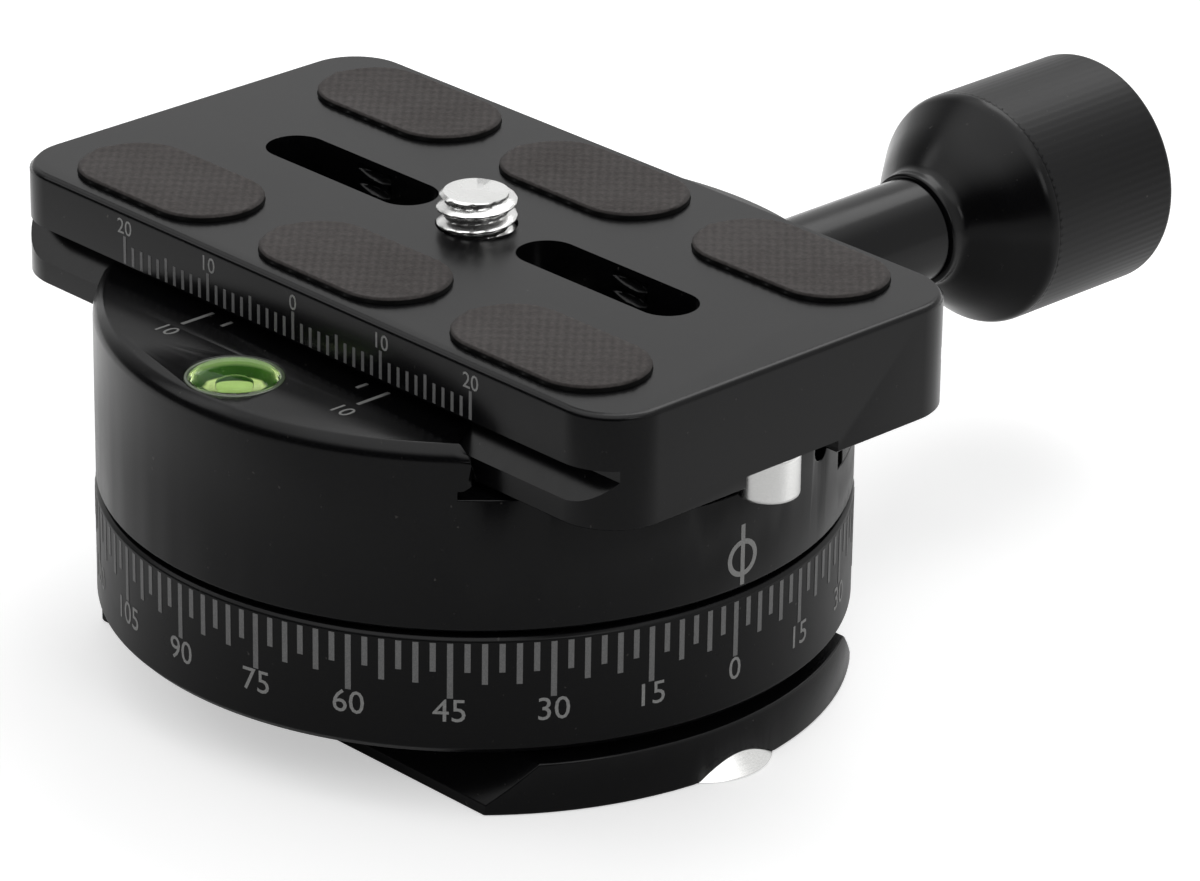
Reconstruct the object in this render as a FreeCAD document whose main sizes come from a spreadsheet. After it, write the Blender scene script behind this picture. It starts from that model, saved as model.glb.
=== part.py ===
import FreeCAD, Part
import math
import os
import re

import Sketcher

# Panoramic tripod head: a dovetail foot and degree dial that stay still, a round body that pans
# on them, a screw-knob clamp on the body and a quick-release plate in the clamp.
#
# Frame, in millimetres: the origin is on the pan axis in the foot's bottom face, +Z up, +X along
# the plate towards the index mark, +Y along the clamp screw towards the knob.

Vector = FreeCAD.Vector
document = FreeCAD.newDocument("panoramic_head")

# ---------------------------------------------------------------------------- driving dimensions

DRIVING = [
    # dovetail foot
    ("foot_diameter", 60.4),
    ("foot_height", 4.3),
    ("foot_width", 39.6),           # across the two dovetail flats, at the bottom
    ("foot_land", 0.9),             # upright strip below each 45 degree flank
    ("foot_edge", 0.15),            # chamfer of the round rim
    ("foot_boss_diameter", 32.0),   # raised face that the dial ring stands on
    ("foot_gap", 0.8),              # open gap between foot and dial ring
    ("stop_circle", 25.8),          # distance of each foot stop screw from the pan axis
    ("stop_head_diameter", 11.5),   # at the countersunk head's lower face
    ("stop_head_height", 1.8),
    ("stop_lift", 0.05),            # head's clearance above the surface that the foot rests on
    ("stop_recess_diameter", 11.7),
    ("stop_recess_depth", 1.95),
    ("stop_thread_diameter", 4.0),
    ("stop_thread_cover", 0.3),     # metal left above the stop screw's end
    # tripod thread bush
    ("tripod_thread_diameter", 9.525),
    ("bush_diameter", 12.0),
    ("bush_flange_diameter", 16.6),
    ("bush_flange_height", 1.2),
    ("bush_length", 9.8),
    # dial ring
    ("dial_diameter", 60.2),
    ("dial_height", 9.9),
    ("dial_lower_edge", 0.6),
    ("dial_upper_edge", 0.3),
    ("web_height", 5.8),            # solid upper part of the dial ring that holds the bearing
    ("nut_room_diameter", 21.8),
    ("base_screw_circle", 26.8),    # pitch circle diameter
    ("base_screw_diameter", 3.0),
    ("base_head_diameter", 5.5),
    ("base_head_height", 2.6),
    ("base_head_inset", 0.5),
    ("base_screw_reach", 3.6),      # screw length inside the dial ring
    # pan bearing
    ("journal_diameter", 18.4),
    ("bearing_wall", 2.2),
    ("running_gap", 0.04),          # radial clearance of every turning or sliding fit
    ("thread_gap", 0.02),           # radial clearance between threads, drawn as plain cylinders
    ("face_gap", 0.05),             # axial clearance between faces that slide on each other
    ("spindle_thread_diameter", 15.6),
    ("spindle_bore_diameter", 12.6),
    ("spindle_bore_roof", 0.6),     # clearance above the tripod bush
    ("spindle_flange_diameter", 26.0),
    ("spindle_flange_height", 1.7),
    ("spindle_screw_circle", 22.2), # pitch circle diameter
    ("spindle_screw_diameter", 2.0),
    ("spindle_head_diameter", 3.4),
    ("spindle_head_height", 0.9),
    ("spindle_screw_reach", 3.0),
    ("ring_nut_diameter", 20.8),
    ("ring_nut_height", 1.9),
    ("ring_nut_slot_width", 2.0),
    ("ring_nut_slot_depth", 0.9),
    ("washer_thickness", 0.5),
    ("wave_spring_thickness", 0.5),
    ("friction_ring_inner", 44.0),
    ("friction_ring_outer", 54.0),
    ("friction_ring_inset", 0.5),
    # rotating body
    ("seam_gap", 0.3),
    ("body_diameter", 60.0),
    ("body_upper_edge", 0.9),
    ("body_lower_edge", 0.35),
    ("floor_above_seam", 11.7),     # channel floor above the body's bottom face
    ("jaw_height", 3.6),            # jaw tips above the channel floor
    ("relief_depth", 0.6),          # tool relief in the corner under the fixed jaw
    ("relief_reach", 0.3),
    ("relief_under", 2.2),          # relief's reach under the plate's edge
    ("jaw_end_x", 18.4),            # beyond this the fixed jaw's overhang is cut back to a wall
    ("jaw_end_room", 1.5),          # wall's distance from the plate's edge
    ("split_y", 13.6),              # body's upright face behind the moving jaw
    ("ledge_drop", 6.9),            # ledge under the moving jaw, below the channel floor
    ("tongue_width", 18.0),
    ("tongue_drop", 2.8),           # guide slot for the jaw's tongue, below the ledge
    ("pocket_width", 10.0),
    ("pocket_depth", 3.4),
    # moving jaw and its guides
    ("jaw_gap", 1.0),               # gap between the body's upright face and the closed jaw
    ("jaw_travel", 4.0),
    ("guide_hold", 1.8),            # guide pin's hold in its bush with the jaw fully open
    ("guide_spread", 15.0),         # each guide pin from the pan axis, along X
    ("guide_drop", 3.5),            # guide pin axis below the channel floor
    ("guide_pin_diameter", 4.0),
    ("guide_pin_root", 3.0),        # inner end of the pins, Y
    ("guide_bush_wall", 1.0),
    ("guide_bush_length", 3.8),
    ("spring_room_body", 2.2),      # counterbore for the spring in the body
    ("spring_room_jaw", 2.8),       # counterbore for the spring in the jaw
    ("spring_wire", 0.6),
    ("spring_diameter", 5.6),
    ("spring_coils", 4.0),
    ("spring_end_gap", 0.03),
    ("grub_diameter", 2.0),
    ("grub_y", 10.1),
    ("grub_length", 6.0),
    # clamp screw and knob
    ("screw_drop", 5.0),            # clamp screw axis below the channel floor
    ("screw_diameter", 6.0),
    ("screw_tip_y", -2.0),
    ("screw_tip_edge", 0.6),
    ("screw_tip_room", 2.0),
    ("nut_bush_diameter", 8.2),
    ("nut_bush_root", 1.0),         # inner end of the clamp screw's thread bush, Y
    ("nut_bush_inset", 0.2),
    ("clip_thickness", 0.5),
    ("clip_diameter", 9.0),
    ("clip_clearance", 0.12),       # clip's clearance to the jaw's inner face
    ("spot_face_y", 28.8),
    ("spot_face_diameter", 10.8),
    ("thrust_washer_diameter", 8.6),
    ("thrust_washer_thickness", 0.8),
    ("stem_diameter", 9.0),
    ("stem_end_y", 49.6),
    ("knob_collar_diameter", 9.8),
    ("knob_collar_length", 0.9),
    ("knob_waist_diameter", 13.8),  # where the bell's hollow flare turns into its cone
    ("knob_waist_length", 2.5),
    ("knob_bell_length", 6.0),
    ("knob_rim_round", 0.9),
    ("knob_diameter", 20.0),
    ("knob_end_y", 72.0),
    ("knob_end_edge", 0.9),
    ("knob_screw_depth", 11.0),     # screw's hold inside the knob
    ("knob_cap_diameter", 14.8),
    ("knob_cap_depth", 3.0),
    ("knob_cap_thickness", 2.6),
    ("knob_cap_edge", 0.3),
    # bubble level
    ("level_y", -24.9),
    ("level_diameter", 7.7),
    ("level_depth", 3.0),
    ("level_wall", 0.7),
    ("level_floor", 0.6),
    ("level_lens_thickness", 0.7),
    # quick-release plate
    ("plate_length", 70.0),
    ("plate_width", 38.0),
    ("plate_height", 9.3),
    ("plate_corner", 5.0),
    ("plate_land", 1.9),            # height of each 45 degree flank's foot
    ("plate_groove_depth", 2.0),
    ("plate_lower_edge", 0.15),
    ("plate_slab", 4.5),            # thickness of the upper slab
    ("plate_edge", 0.5),
    ("plate_channel_width", 9.8),
    ("plate_channel_depth", 1.0),
    ("plate_travel", 10.0),         # each way, until a stop screw meets its pocket's inner wall
    ("slot_near", 8.1),             # centres of each slot's round ends, from the middle
    ("slot_far", 21.3),
    ("slot_width", 5.0),
    ("slot_thread_x", 14.7),        # threaded hole through the middle of each slot
    ("slot_thread_diameter", 6.35),
    ("slot_thread_cover", 0.6),     # plain slot above the threaded hole
    ("pad_length", 17.8),
    ("pad_width", 9.5),
    ("pad_end_margin", 4.2),        # plate left bare outside the pads
    ("pad_side_margin", 1.6),
    ("pad_recess", 0.4),
    ("pad_stand", 0.55),            # pad's top above the plate
    ("plate_stop_inset", 2.5),      # stop screw's axis from the plate's end
    ("plate_stop_diameter", 4.9),
    ("plate_stop_drop", 2.6),       # stop's lower end below the plate
    ("plate_stop_thread", 2.5),
    ("plate_stop_thread_length", 4.0),
    # camera screw, drawn as it hangs on its keeper ring
    ("camera_thread_diameter", 6.35),
    ("camera_hole_gap", 0.085),
    ("camera_screw_stand", 2.7),    # thread's end above the plate's top
    ("camera_thread_length", 4.7),
    ("camera_thread_edge", 0.5),
    ("camera_neck_diameter", 4.8),
    ("camera_head_diameter", 12.0),
    ("camera_head_height", 1.6),
    ("camera_slot_width", 1.2),
    ("camera_slot_depth", 0.8),
    ("camera_washer_diameter", 11.6),
    ("camera_washer_thickness", 0.4),
    ("camera_lift", 2.2),           # screw's rise when it is pushed up into a camera
    ("camera_room_diameter", 13.2),
    ("keeper_cover", 0.3),          # metal of the plate below the keeper ring's groove
    ("keeper_thickness", 0.6),
    ("keeper_inner_diameter", 10.0),
    ("keeper_groove", 0.5),
]

# Heights and places that follow from the driving dimensions.
DERIVED = [
    ("foot_radius", "foot_diameter / 2"),
    ("foot_half", "foot_width / 2"),
    ("foot_waist", "foot_half - (foot_height - foot_land)"),
    ("dial_bottom", "foot_height + foot_gap"),
    ("dial_top", "dial_bottom + dial_height"),
    ("dial_radius", "dial_diameter / 2"),
    ("web_bottom", "dial_top - web_height"),
    ("bearing_radius", "journal_diameter / 2 + running_gap"),
    ("bearing_outer", "bearing_radius + bearing_wall"),
    ("washer_bottom", "web_bottom - face_gap - washer_thickness"),
    ("wave_bottom", "washer_bottom - wave_spring_thickness"),
    ("ring_nut_bottom", "wave_bottom - ring_nut_height"),
    ("body_radius", "body_diameter / 2"),
    ("body_bottom", "dial_top + seam_gap"),
    ("floor_height", "body_bottom + floor_above_seam"),
    ("jaw_top", "floor_height + jaw_height"),
    ("ledge_height", "floor_height - ledge_drop"),
    ("tongue_floor", "ledge_height - tongue_drop"),
    ("pocket_floor", "floor_height - pocket_depth"),
    ("plate_stop_x", "plate_length / 2 - plate_stop_inset"),
    ("pocket_inner", "plate_stop_x - plate_stop_diameter / 2 - plate_travel - face_gap"),
    ("flange_top", "body_bottom + spindle_flange_height"),
    ("plate_half", "plate_width / 2"),
    ("plate_top", "floor_height + plate_height"),
    ("slab_bottom", "plate_top - plate_slab"),
    ("flank_foot", "floor_height + plate_land"),
    ("plate_waist", "plate_half - plate_groove_depth"),
    ("jaw_tip_y", "plate_half - (jaw_top - flank_foot) + face_gap"),
    ("jaw_root_y", "jaw_tip_y + jaw_height"),
    ("jaw_inner_y", "split_y + jaw_gap"),
    ("guide_height", "floor_height - guide_drop"),
    ("guide_bush_radius", "guide_pin_diameter / 2 + running_gap + guide_bush_wall"),
    ("guide_bush_root", "jaw_inner_y + spring_room_jaw"),
    ("guide_pin_tip", "guide_bush_root + jaw_travel + guide_hold"),
    ("spring_root", "split_y - spring_room_body"),
    ("grub_root", "guide_spread + guide_pin_diameter / 2"),
    ("screw_height", "floor_height - screw_drop"),
    ("stem_root_y", "spot_face_y + thrust_washer_thickness + face_gap"),
    ("knob_bell_y", "stem_end_y + knob_collar_length"),
    ("knob_rim_y", "knob_bell_y + knob_bell_length"),
    ("level_bottom", "jaw_top - level_depth"),
    ("pad_bottom", "plate_top - pad_recess"),
    ("pad_spread_x", "plate_length / 2 - pad_end_margin - pad_length / 2"),
    ("pad_spread_y", "plate_width / 2 - pad_side_margin - pad_width / 2"),
    ("camera_screw_top", "plate_top + camera_screw_stand"),
    ("keeper_top", "floor_height + plate_channel_depth + keeper_cover + keeper_thickness"),
    ("camera_head_bottom", "keeper_top + face_gap"),
    ("camera_head_top", "camera_head_bottom + camera_head_height"),
    ("camera_washer_top", "camera_head_top + camera_washer_thickness"),
    ("camera_room_top", "camera_washer_top + camera_lift + face_gap"),
]

sizes = document.addObject("Spreadsheet::Sheet", "sizes")
ALIASES = [name for name, _ in DRIVING] + [name for name, _ in DERIVED]
for row, (name, value) in enumerate(DRIVING + DERIVED, start=1):
    sizes.set(f"A{row}", name)
    sizes.set(f"B{row}", f"={value}" if isinstance(value, str) else str(value))
    sizes.setAlias(f"B{row}", name)
document.recompute()

# ------------------------------------------------------------------------------------- helpers

WORD = re.compile(r"[a-z_]+")


def formula(text):
    """The expression for a size written with the sheet's names."""
    return WORD.sub(lambda word: "sizes." + word[0] if word[0] in ALIASES else word[0], text)


def new_part(label, several=False):
    """An empty body; several=True lets it hold more than one solid."""
    body = document.addObject("PartDesign::Body", label)
    body.Label = label
    body.AllowCompound = several
    return body


def sketch_on(body, role, offset="0"):
    """An empty sketch on one of the body's own planes, moved along that plane's normal."""
    sketch = body.newObject("Sketcher::SketchObject", "sketch")
    plane = next(item for item in body.Origin.OriginFeatures if item.Role == role)
    sketch.AttachmentSupport = [(plane, "")]
    sketch.MapMode = "FlatFace"
    sketch.setExpression("AttachmentOffset.Base.z", formula(offset))
    return sketch


def fix(sketch, kind, geometry, point, start, size):
    """Ties a point's X or Y distance from the sketch's origin to a size."""
    index = sketch.addConstraint(Sketcher.Constraint(kind, -1, 1, geometry, point, start))
    sketch.setExpression(f"Constraints[{index}]", formula(size))


def outline(sketch, corners):
    """Closed straight-sided outline; each corner is a pair of sizes."""
    count = len(corners)
    ring = [Vector(math.cos(math.tau * i / count), math.sin(math.tau * i / count), 0)
            for i in range(count)]
    first = sketch.GeometryCount
    for i in range(count):
        sketch.addGeometry(Part.LineSegment(ring[i], ring[(i + 1) % count]), False)
    for i in range(count):
        following = first + (i + 1) % count
        sketch.addConstraint(Sketcher.Constraint("Coincident", first + i, 2, following, 1))
    for i, (across, up) in enumerate(corners):
        fix(sketch, "DistanceX", first + i, 1, ring[i].x, across)
        fix(sketch, "DistanceY", first + i, 1, ring[i].y, up)
    return sketch


def box_outline(sketch, low_x, low_y, high_x, high_y):
    corners = [(low_x, low_y), (high_x, low_y), (high_x, high_y), (low_x, high_y)]
    return outline(sketch, corners)


def circles(sketch, centres, radius):
    """One circle of the same radius at each centre."""
    for across, up in centres:
        circle = sketch.addGeometry(Part.Circle(Vector(1, 1, 0), Vector(0, 0, 1), 1), False)
        fix(sketch, "DistanceX", circle, 3, 1, across)
        fix(sketch, "DistanceY", circle, 3, 1, up)
        index = sketch.addConstraint(Sketcher.Constraint("Radius", circle, 1))
        sketch.setExpression(f"Constraints[{index}]", formula(radius))
    return sketch


def stadium(sketch, left, right, middle, radius):
    """Two straight sides along the sketch's X, joined by half circles about left and right."""
    low, high = f"{middle} - {radius}", f"{middle} + {radius}"
    lower = sketch.addGeometry(Part.LineSegment(Vector(-1, -1, 0), Vector(1, -1, 0)), False)
    upper = sketch.addGeometry(Part.LineSegment(Vector(1, 1, 0), Vector(-1, 1, 0)), False)
    quarter = math.pi / 2
    normal = Vector(0, 0, 1)
    end_arc = Part.ArcOfCircle(Part.Circle(Vector(1, 0, 0), normal, 1), -quarter, quarter)
    start_arc = Part.ArcOfCircle(Part.Circle(Vector(-1, 0, 0), normal, 1), quarter, 3 * quarter)
    right_end = sketch.addGeometry(end_arc, False)
    left_end = sketch.addGeometry(start_arc, False)
    joints = [(lower, 2, right_end, 1), (right_end, 2, upper, 1), (upper, 2, left_end, 1),
              (left_end, 2, lower, 1)]
    for joint in joints:
        sketch.addConstraint(Sketcher.Constraint("Coincident", *joint))
    for line, point, across, up in [(lower, 1, left, low), (lower, 2, right, low),
                                    (upper, 1, right, high), (upper, 2, left, high)]:
        start = sketch.getPoint(line, point)
        fix(sketch, "DistanceX", line, point, start.x, across)
        fix(sketch, "DistanceY", line, point, start.y, up)
    fix(sketch, "DistanceX", right_end, 3, 1, right)
    fix(sketch, "DistanceX", left_end, 3, -1, left)
    return sketch


def feature(body, kind, sketch):
    made = body.newObject(kind, kind.split("::")[1].lower())
    made.Profile = (sketch, [""])
    sketch.Visibility = False
    return made


def add_along(body, role, draw, low, high):
    """Adds what draw puts in a sketch, from low to high along the plane's world axis."""
    backwards = role == "XZ_Plane"  # this plane's normal is -Y
    sketch = sketch_on(body, role, f"-({high})" if backwards else low)
    draw(sketch)
    made = feature(body, "PartDesign::Pad", sketch)
    made.setExpression("Length", formula(f"({high}) - ({low})"))
    document.recompute()
    return made


def cut_along(body, role, draw, low, high):
    """Removes what draw puts in a sketch, from low to high along the plane's world axis."""
    before = body.Shape.Volume
    backwards = role == "XZ_Plane"
    sketch = sketch_on(body, role, f"-({low})" if backwards else high)
    draw(sketch)
    made = feature(body, "PartDesign::Pocket", sketch)
    made.setExpression("Length", formula(f"({high}) - ({low})"))
    document.recompute()
    if body.Shape.Volume >= before:
        raise RuntimeError(f"a cut in {body.Label} removed nothing")
    return made


def turn(body, profile):
    """Revolves a profile of (radius, height) pairs about the body's Z axis."""
    sketch = outline(sketch_on(body, "XZ_Plane"), profile)
    made = feature(body, "PartDesign::Revolution", sketch)
    made.ReferenceAxis = (sketch, ["V_Axis"])
    made.Angle = 360
    document.recompute()
    return made


def lay_along_y(body, across="0", start="0", height="screw_height"):
    """Turns a body built along its own Z so that it lies along +Y."""
    body.Placement = FreeCAD.Placement(Vector(), FreeCAD.Rotation(Vector(1, 0, 0), -90))
    for axis, size in (("x", across), ("y", start), ("z", height)):
        body.setExpression(f"Placement.Base.{axis}", formula(size))


def tube_profile(inner, outer, low, high):
    return [(inner, low), (outer, low), (outer, high), (inner, high)]


def edges_at(body, test):
    """Names of the edges whose every vertex passes the test."""
    return [f"Edge{number}" for number, edge in enumerate(body.Shape.Edges, start=1)
            if all(test(vertex.Point) for vertex in edge.Vertexes)]


def value(name):
    return float(getattr(sizes, name))


def cone(body, kind, across, low, high, low_radius, high_radius):
    """Adds or cuts an upright cone on the XZ plane, from low to high, at a distance along X."""
    made = body.newObject(f"PartDesign::{kind}Cone", "cone")
    made.setExpression("Radius1", formula(low_radius))
    made.setExpression("Radius2", formula(high_radius))
    made.setExpression("Height", formula(f"({high}) - ({low})"))
    made.setExpression("Placement.Base.x", formula(across))
    made.setExpression("Placement.Base.z", formula(low))
    document.recompute()
    return made


def dress(body, kind, names, size_property, size):
    """Adds a fillet or chamfer of the named edges to the body's last feature."""
    base = body.Tip
    made = body.newObject(kind, kind.split("::")[1].lower())
    made.Base = (base, names)
    made.setExpression(size_property, formula(size))
    document.recompute()
    return made


BOTH_ENDS = (1, -1)
NEAR = 1e-4

# ------------------------------------------------------------------------------- foot and base


def dovetail_foot():
    """Round foot with two flats undercut at 45 degrees, so that a dovetail clamp can hold it."""
    body = new_part("dovetail_foot")
    turn(body, [("0", "0"), ("foot_radius - foot_edge", "0"), ("foot_radius", "foot_edge"),
                ("foot_radius", "foot_height - foot_edge"),
                ("foot_radius - foot_edge", "foot_height"),
                ("foot_boss_diameter / 2", "foot_height"),
                ("foot_boss_diameter / 2", "dial_bottom"), ("0", "dial_bottom")])
    for side in BOTH_ENDS:
        flank = [(f"{side} * foot_half", "-1"), (f"{side} * foot_half", "foot_land"),
                 (f"{side} * foot_waist", "foot_height"),
                 (f"{side} * foot_waist", "foot_height + foot_gap"),
                 (f"{side} * (foot_radius + 1)", "foot_height + foot_gap"),
                 (f"{side} * (foot_radius + 1)", "-1")]
        cut_along(body, "YZ_Plane", lambda sketch: outline(sketch, flank),
                  "-foot_radius", "foot_radius")
    middle = [("0", "0")]
    cut_along(body, "XY_Plane", lambda sketch: circles(sketch, middle, "bush_diameter / 2"),
              "0", "dial_bottom")
    cut_along(body, "XY_Plane", lambda sketch: circles(sketch, middle, "bush_flange_diameter / 2"),
              "0", "bush_flange_height")
    screws = on_circle("base_screw_circle", 4, 45)
    cut_along(body, "XY_Plane", lambda sketch: circles(sketch, screws, "base_screw_diameter / 2"),
              "0", "dial_bottom")
    cut_along(body, "XY_Plane", lambda sketch: circles(sketch, screws, "base_head_diameter / 2"),
              "0", "base_head_inset + base_head_height")
    for across, _ in stops():
        cone(body, "Subtractive", across, "0", "stop_recess_depth", "stop_recess_diameter / 2",
             "stop_recess_diameter / 2 - stop_recess_depth")
    cut_along(body, "XY_Plane", lambda sketch: circles(sketch, stops(), "stop_thread_diameter / 2"),
              "0", "foot_height - stop_thread_cover")
    return body


def on_circle(diameter, count, first):
    """Centres spread evenly round the pan axis; first is the first one's angle in degrees."""
    angles = [math.radians(first + 360 * i / count) for i in range(count)]
    return [(f"{diameter} / 2 * {math.cos(angle):.9f}", f"{diameter} / 2 * {math.sin(angle):.9f}")
            for angle in angles]


def stops():
    return [(f"{side} * stop_circle", "0") for side in BOTH_ENDS]


def foot_stop_screws():
    body = new_part("foot_stop_screws", several=True)
    head_top = "stop_lift + stop_head_height"
    for across, _ in stops():
        cone(body, "Additive", across, "stop_lift", head_top, "stop_head_diameter / 2",
             "stop_head_diameter / 2 - stop_head_height")
    add_along(body, "XY_Plane", lambda sketch: circles(sketch, stops(), "stop_thread_diameter / 2"),
              head_top, "foot_height - stop_thread_cover")
    return body


def tripod_thread_bush():
    """Flanged steel bush with the tripod's thread, drawn as a plain bore at its major diameter."""
    body = new_part("tripod_thread_bush")
    bore = "tripod_thread_diameter / 2"
    turn(body, [(bore, "0"), ("bush_flange_diameter / 2", "0"),
                ("bush_flange_diameter / 2", "bush_flange_height"),
                ("bush_diameter / 2", "bush_flange_height"),
                ("bush_diameter / 2", "bush_length"), (bore, "bush_length")])
    return body


def base_screws():
    body = new_part("base_screws", several=True)
    places = on_circle("base_screw_circle", 4, 45)
    head_top = "base_head_inset + base_head_height"
    add_along(body, "XY_Plane", lambda sketch: circles(sketch, places, "base_head_diameter / 2"),
              "base_head_inset", head_top)
    add_along(body, "XY_Plane", lambda sketch: circles(sketch, places, "base_screw_diameter / 2"),
              head_top, "dial_bottom + base_screw_reach")
    return body


def dial_ring():
    """Base housing whose outside carries the degree scale."""
    body = new_part("dial_ring")
    nut_room = "nut_room_diameter / 2"
    ring_floor = "dial_top - friction_ring_inset"
    turn(body, [(nut_room, "dial_bottom"), ("dial_radius - dial_lower_edge", "dial_bottom"),
                ("dial_radius", "dial_bottom + dial_lower_edge"),
                ("dial_radius", "dial_top - dial_upper_edge"),
                ("dial_radius - dial_upper_edge", "dial_top"),
                ("friction_ring_outer / 2", "dial_top"), ("friction_ring_outer / 2", ring_floor),
                ("friction_ring_inner / 2", ring_floor), ("friction_ring_inner / 2", "dial_top"),
                ("bearing_outer", "dial_top"), ("bearing_outer", "web_bottom"),
                (nut_room, "web_bottom")])
    places = on_circle("base_screw_circle", 4, 45)
    cut_along(body, "XY_Plane", lambda sketch: circles(sketch, places, "base_screw_diameter / 2"),
              "dial_bottom", "dial_bottom + base_screw_reach")
    return body


def bearing_bush():
    body = new_part("bearing_bush")
    turn(body, tube_profile("bearing_radius", "bearing_outer", "web_bottom", "dial_top"))
    return body


def friction_ring():
    """Plastic ring between the dial ring and the turning body; it sets the drag of the pan."""
    body = new_part("friction_ring")
    turn(body, tube_profile("friction_ring_inner / 2", "friction_ring_outer / 2",
                            "dial_top - friction_ring_inset", "body_bottom - face_gap"))
    return body


# -------------------------------------------------------------------------------- pan spindle


def pan_spindle():
    """Hollow spindle: flange under the body, journal in the bearing, thread for the ring nut."""
    body = new_part("pan_spindle")
    thread = "spindle_thread_diameter / 2"
    journal = "journal_diameter / 2"
    flange = "spindle_flange_diameter / 2"
    roof = "bush_length + spindle_bore_roof"
    shoulder = "web_bottom - face_gap"
    turn(body, [("spindle_bore_diameter / 2", "ring_nut_bottom"), (thread, "ring_nut_bottom"),
                (thread, shoulder), (journal, shoulder), (journal, "body_bottom"),
                (flange, "body_bottom"), (flange, "flange_top"), ("0", "flange_top"),
                ("0", roof), ("spindle_bore_diameter / 2", roof)])
    places = on_circle("spindle_screw_circle", 6, 0)
    cut_along(body, "XY_Plane", lambda sketch: circles(sketch, places, "spindle_screw_diameter / 2"),
              "body_bottom", "flange_top")
    cut_along(body, "XY_Plane", lambda sketch: circles(sketch, places, "spindle_head_diameter / 2"),
              "body_bottom", "body_bottom + spindle_head_height")
    return body


def spindle_screws():
    body = new_part("spindle_screws", several=True)
    places = on_circle("spindle_screw_circle", 6, 0)
    head_top = "body_bottom + spindle_head_height"
    add_along(body, "XY_Plane", lambda sketch: circles(sketch, places, "spindle_head_diameter / 2"),
              "body_bottom", head_top)
    add_along(body, "XY_Plane", lambda sketch: circles(sketch, places, "spindle_screw_diameter / 2"),
              head_top, "flange_top + spindle_screw_reach")
    return body


def ring_nut():
    body = new_part("ring_nut")
    turn(body, tube_profile("spindle_thread_diameter / 2 + thread_gap", "ring_nut_diameter / 2",
                            "ring_nut_bottom", "wave_bottom"))
    half = "ring_nut_slot_width / 2"
    cut_along(body, "XY_Plane",
              lambda sketch: box_outline(sketch, "-ring_nut_diameter", f"-{half}",
                                         "ring_nut_diameter", half),
              "ring_nut_bottom", "ring_nut_bottom + ring_nut_slot_depth")
    return body


def wave_spring():
    """Preload spring between the ring nut and the thrust washer, drawn flat as when pressed."""
    body = new_part("wave_spring")
    turn(body, tube_profile("spindle_thread_diameter / 2 + running_gap", "ring_nut_diameter / 2",
                            "wave_bottom", "washer_bottom"))
    return body


def lower_thrust_washer():
    body = new_part("lower_thrust_washer")
    turn(body, tube_profile("spindle_thread_diameter / 2 + running_gap", "ring_nut_diameter / 2",
                            "washer_bottom", "washer_bottom + washer_thickness"))
    return body


# ------------------------------------------------------------------------------- clamp body


def clamp_body():
    """Round body with the fixed jaw, the channel for the plate and the seat of the moving jaw."""
    body = new_part("clamp_body")
    turn(body, [("0", "body_bottom"), ("body_radius - body_lower_edge", "body_bottom"),
                ("body_radius", "body_bottom + body_lower_edge"),
                ("body_radius", "jaw_top - body_upper_edge"),
                ("body_radius - body_upper_edge", "jaw_top"), ("0", "jaw_top")])
    channel = [("-jaw_tip_y", "jaw_top + 1"), ("-jaw_tip_y", "jaw_top"),
               ("-jaw_root_y", "floor_height"),
               ("-jaw_root_y - relief_reach", "floor_height"),
               ("-jaw_root_y - relief_reach", "floor_height - relief_depth"),
               ("-plate_half + relief_under", "floor_height - relief_depth"),
               ("-plate_half + relief_under", "floor_height"), ("split_y", "floor_height"),
               ("split_y", "ledge_height"), ("body_radius + 1", "ledge_height"),
               ("body_radius + 1", "jaw_top + 1")]
    cut_along(body, "YZ_Plane", lambda sketch: outline(sketch, channel),
              "-body_radius", "body_radius")
    cut_along(body, "XY_Plane",
              lambda sketch: box_outline(sketch, "jaw_end_x", "-plate_half - jaw_end_room",
                                         "body_radius + 1", "0"),
              "floor_height", "jaw_top")
    half_tongue = "tongue_width / 2 + running_gap"
    cut_along(body, "XY_Plane",
              lambda sketch: box_outline(sketch, f"-({half_tongue})", "split_y", half_tongue,
                                         "body_radius + 1"), "tongue_floor", "ledge_height")
    for side in BOTH_ENDS:
        near, far = f"{side} * pocket_inner", f"{side} * (body_radius + 1)"
        half = "pocket_width / 2"
        cut_along(body, "XY_Plane",
                  lambda sketch: box_outline(sketch, near, f"-{half}", far, half),
                  "pocket_floor", "floor_height")
    bore_for_screw(body)
    bores_for_guides(body)
    middle = [("0", "0")]
    cut_along(body, "XY_Plane",
              lambda sketch: circles(sketch, middle, "spindle_flange_diameter / 2"),
              "body_bottom", "flange_top")
    places = on_circle("spindle_screw_circle", 6, 0)
    cut_along(body, "XY_Plane", lambda sketch: circles(sketch, places, "spindle_screw_diameter / 2"),
              "flange_top", "flange_top + spindle_screw_reach")
    cut_along(body, "XY_Plane",
              lambda sketch: circles(sketch, [("0", "level_y")], "level_diameter / 2"),
              "level_bottom", "jaw_top")
    return body


def bore_for_screw(body):
    axis = [("0", "screw_height")]
    cut_along(body, "XZ_Plane", lambda sketch: circles(sketch, axis, "nut_bush_diameter / 2"),
              "nut_bush_root", "split_y")
    cut_along(body, "XZ_Plane",
              lambda sketch: circles(sketch, axis, "screw_diameter / 2 + running_gap"),
              "screw_tip_y - screw_tip_room", "nut_bush_root")


def bores_for_guides(body):
    pins = [(f"{side} * guide_spread", "guide_height") for side in BOTH_ENDS]
    cut_along(body, "XZ_Plane", lambda sketch: circles(sketch, pins, "guide_pin_diameter / 2"),
              "guide_pin_root", "split_y")
    cut_along(body, "XZ_Plane", lambda sketch: circles(sketch, pins, "guide_bush_radius"),
              "spring_root", "split_y")
    grub = [("grub_y", "guide_height")]
    for low, high in (("grub_root", "body_radius"), ("-body_radius", "-grub_root")):
        cut_along(body, "YZ_Plane", lambda sketch: circles(sketch, grub, "grub_diameter / 2"),
                  low, high)


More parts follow.
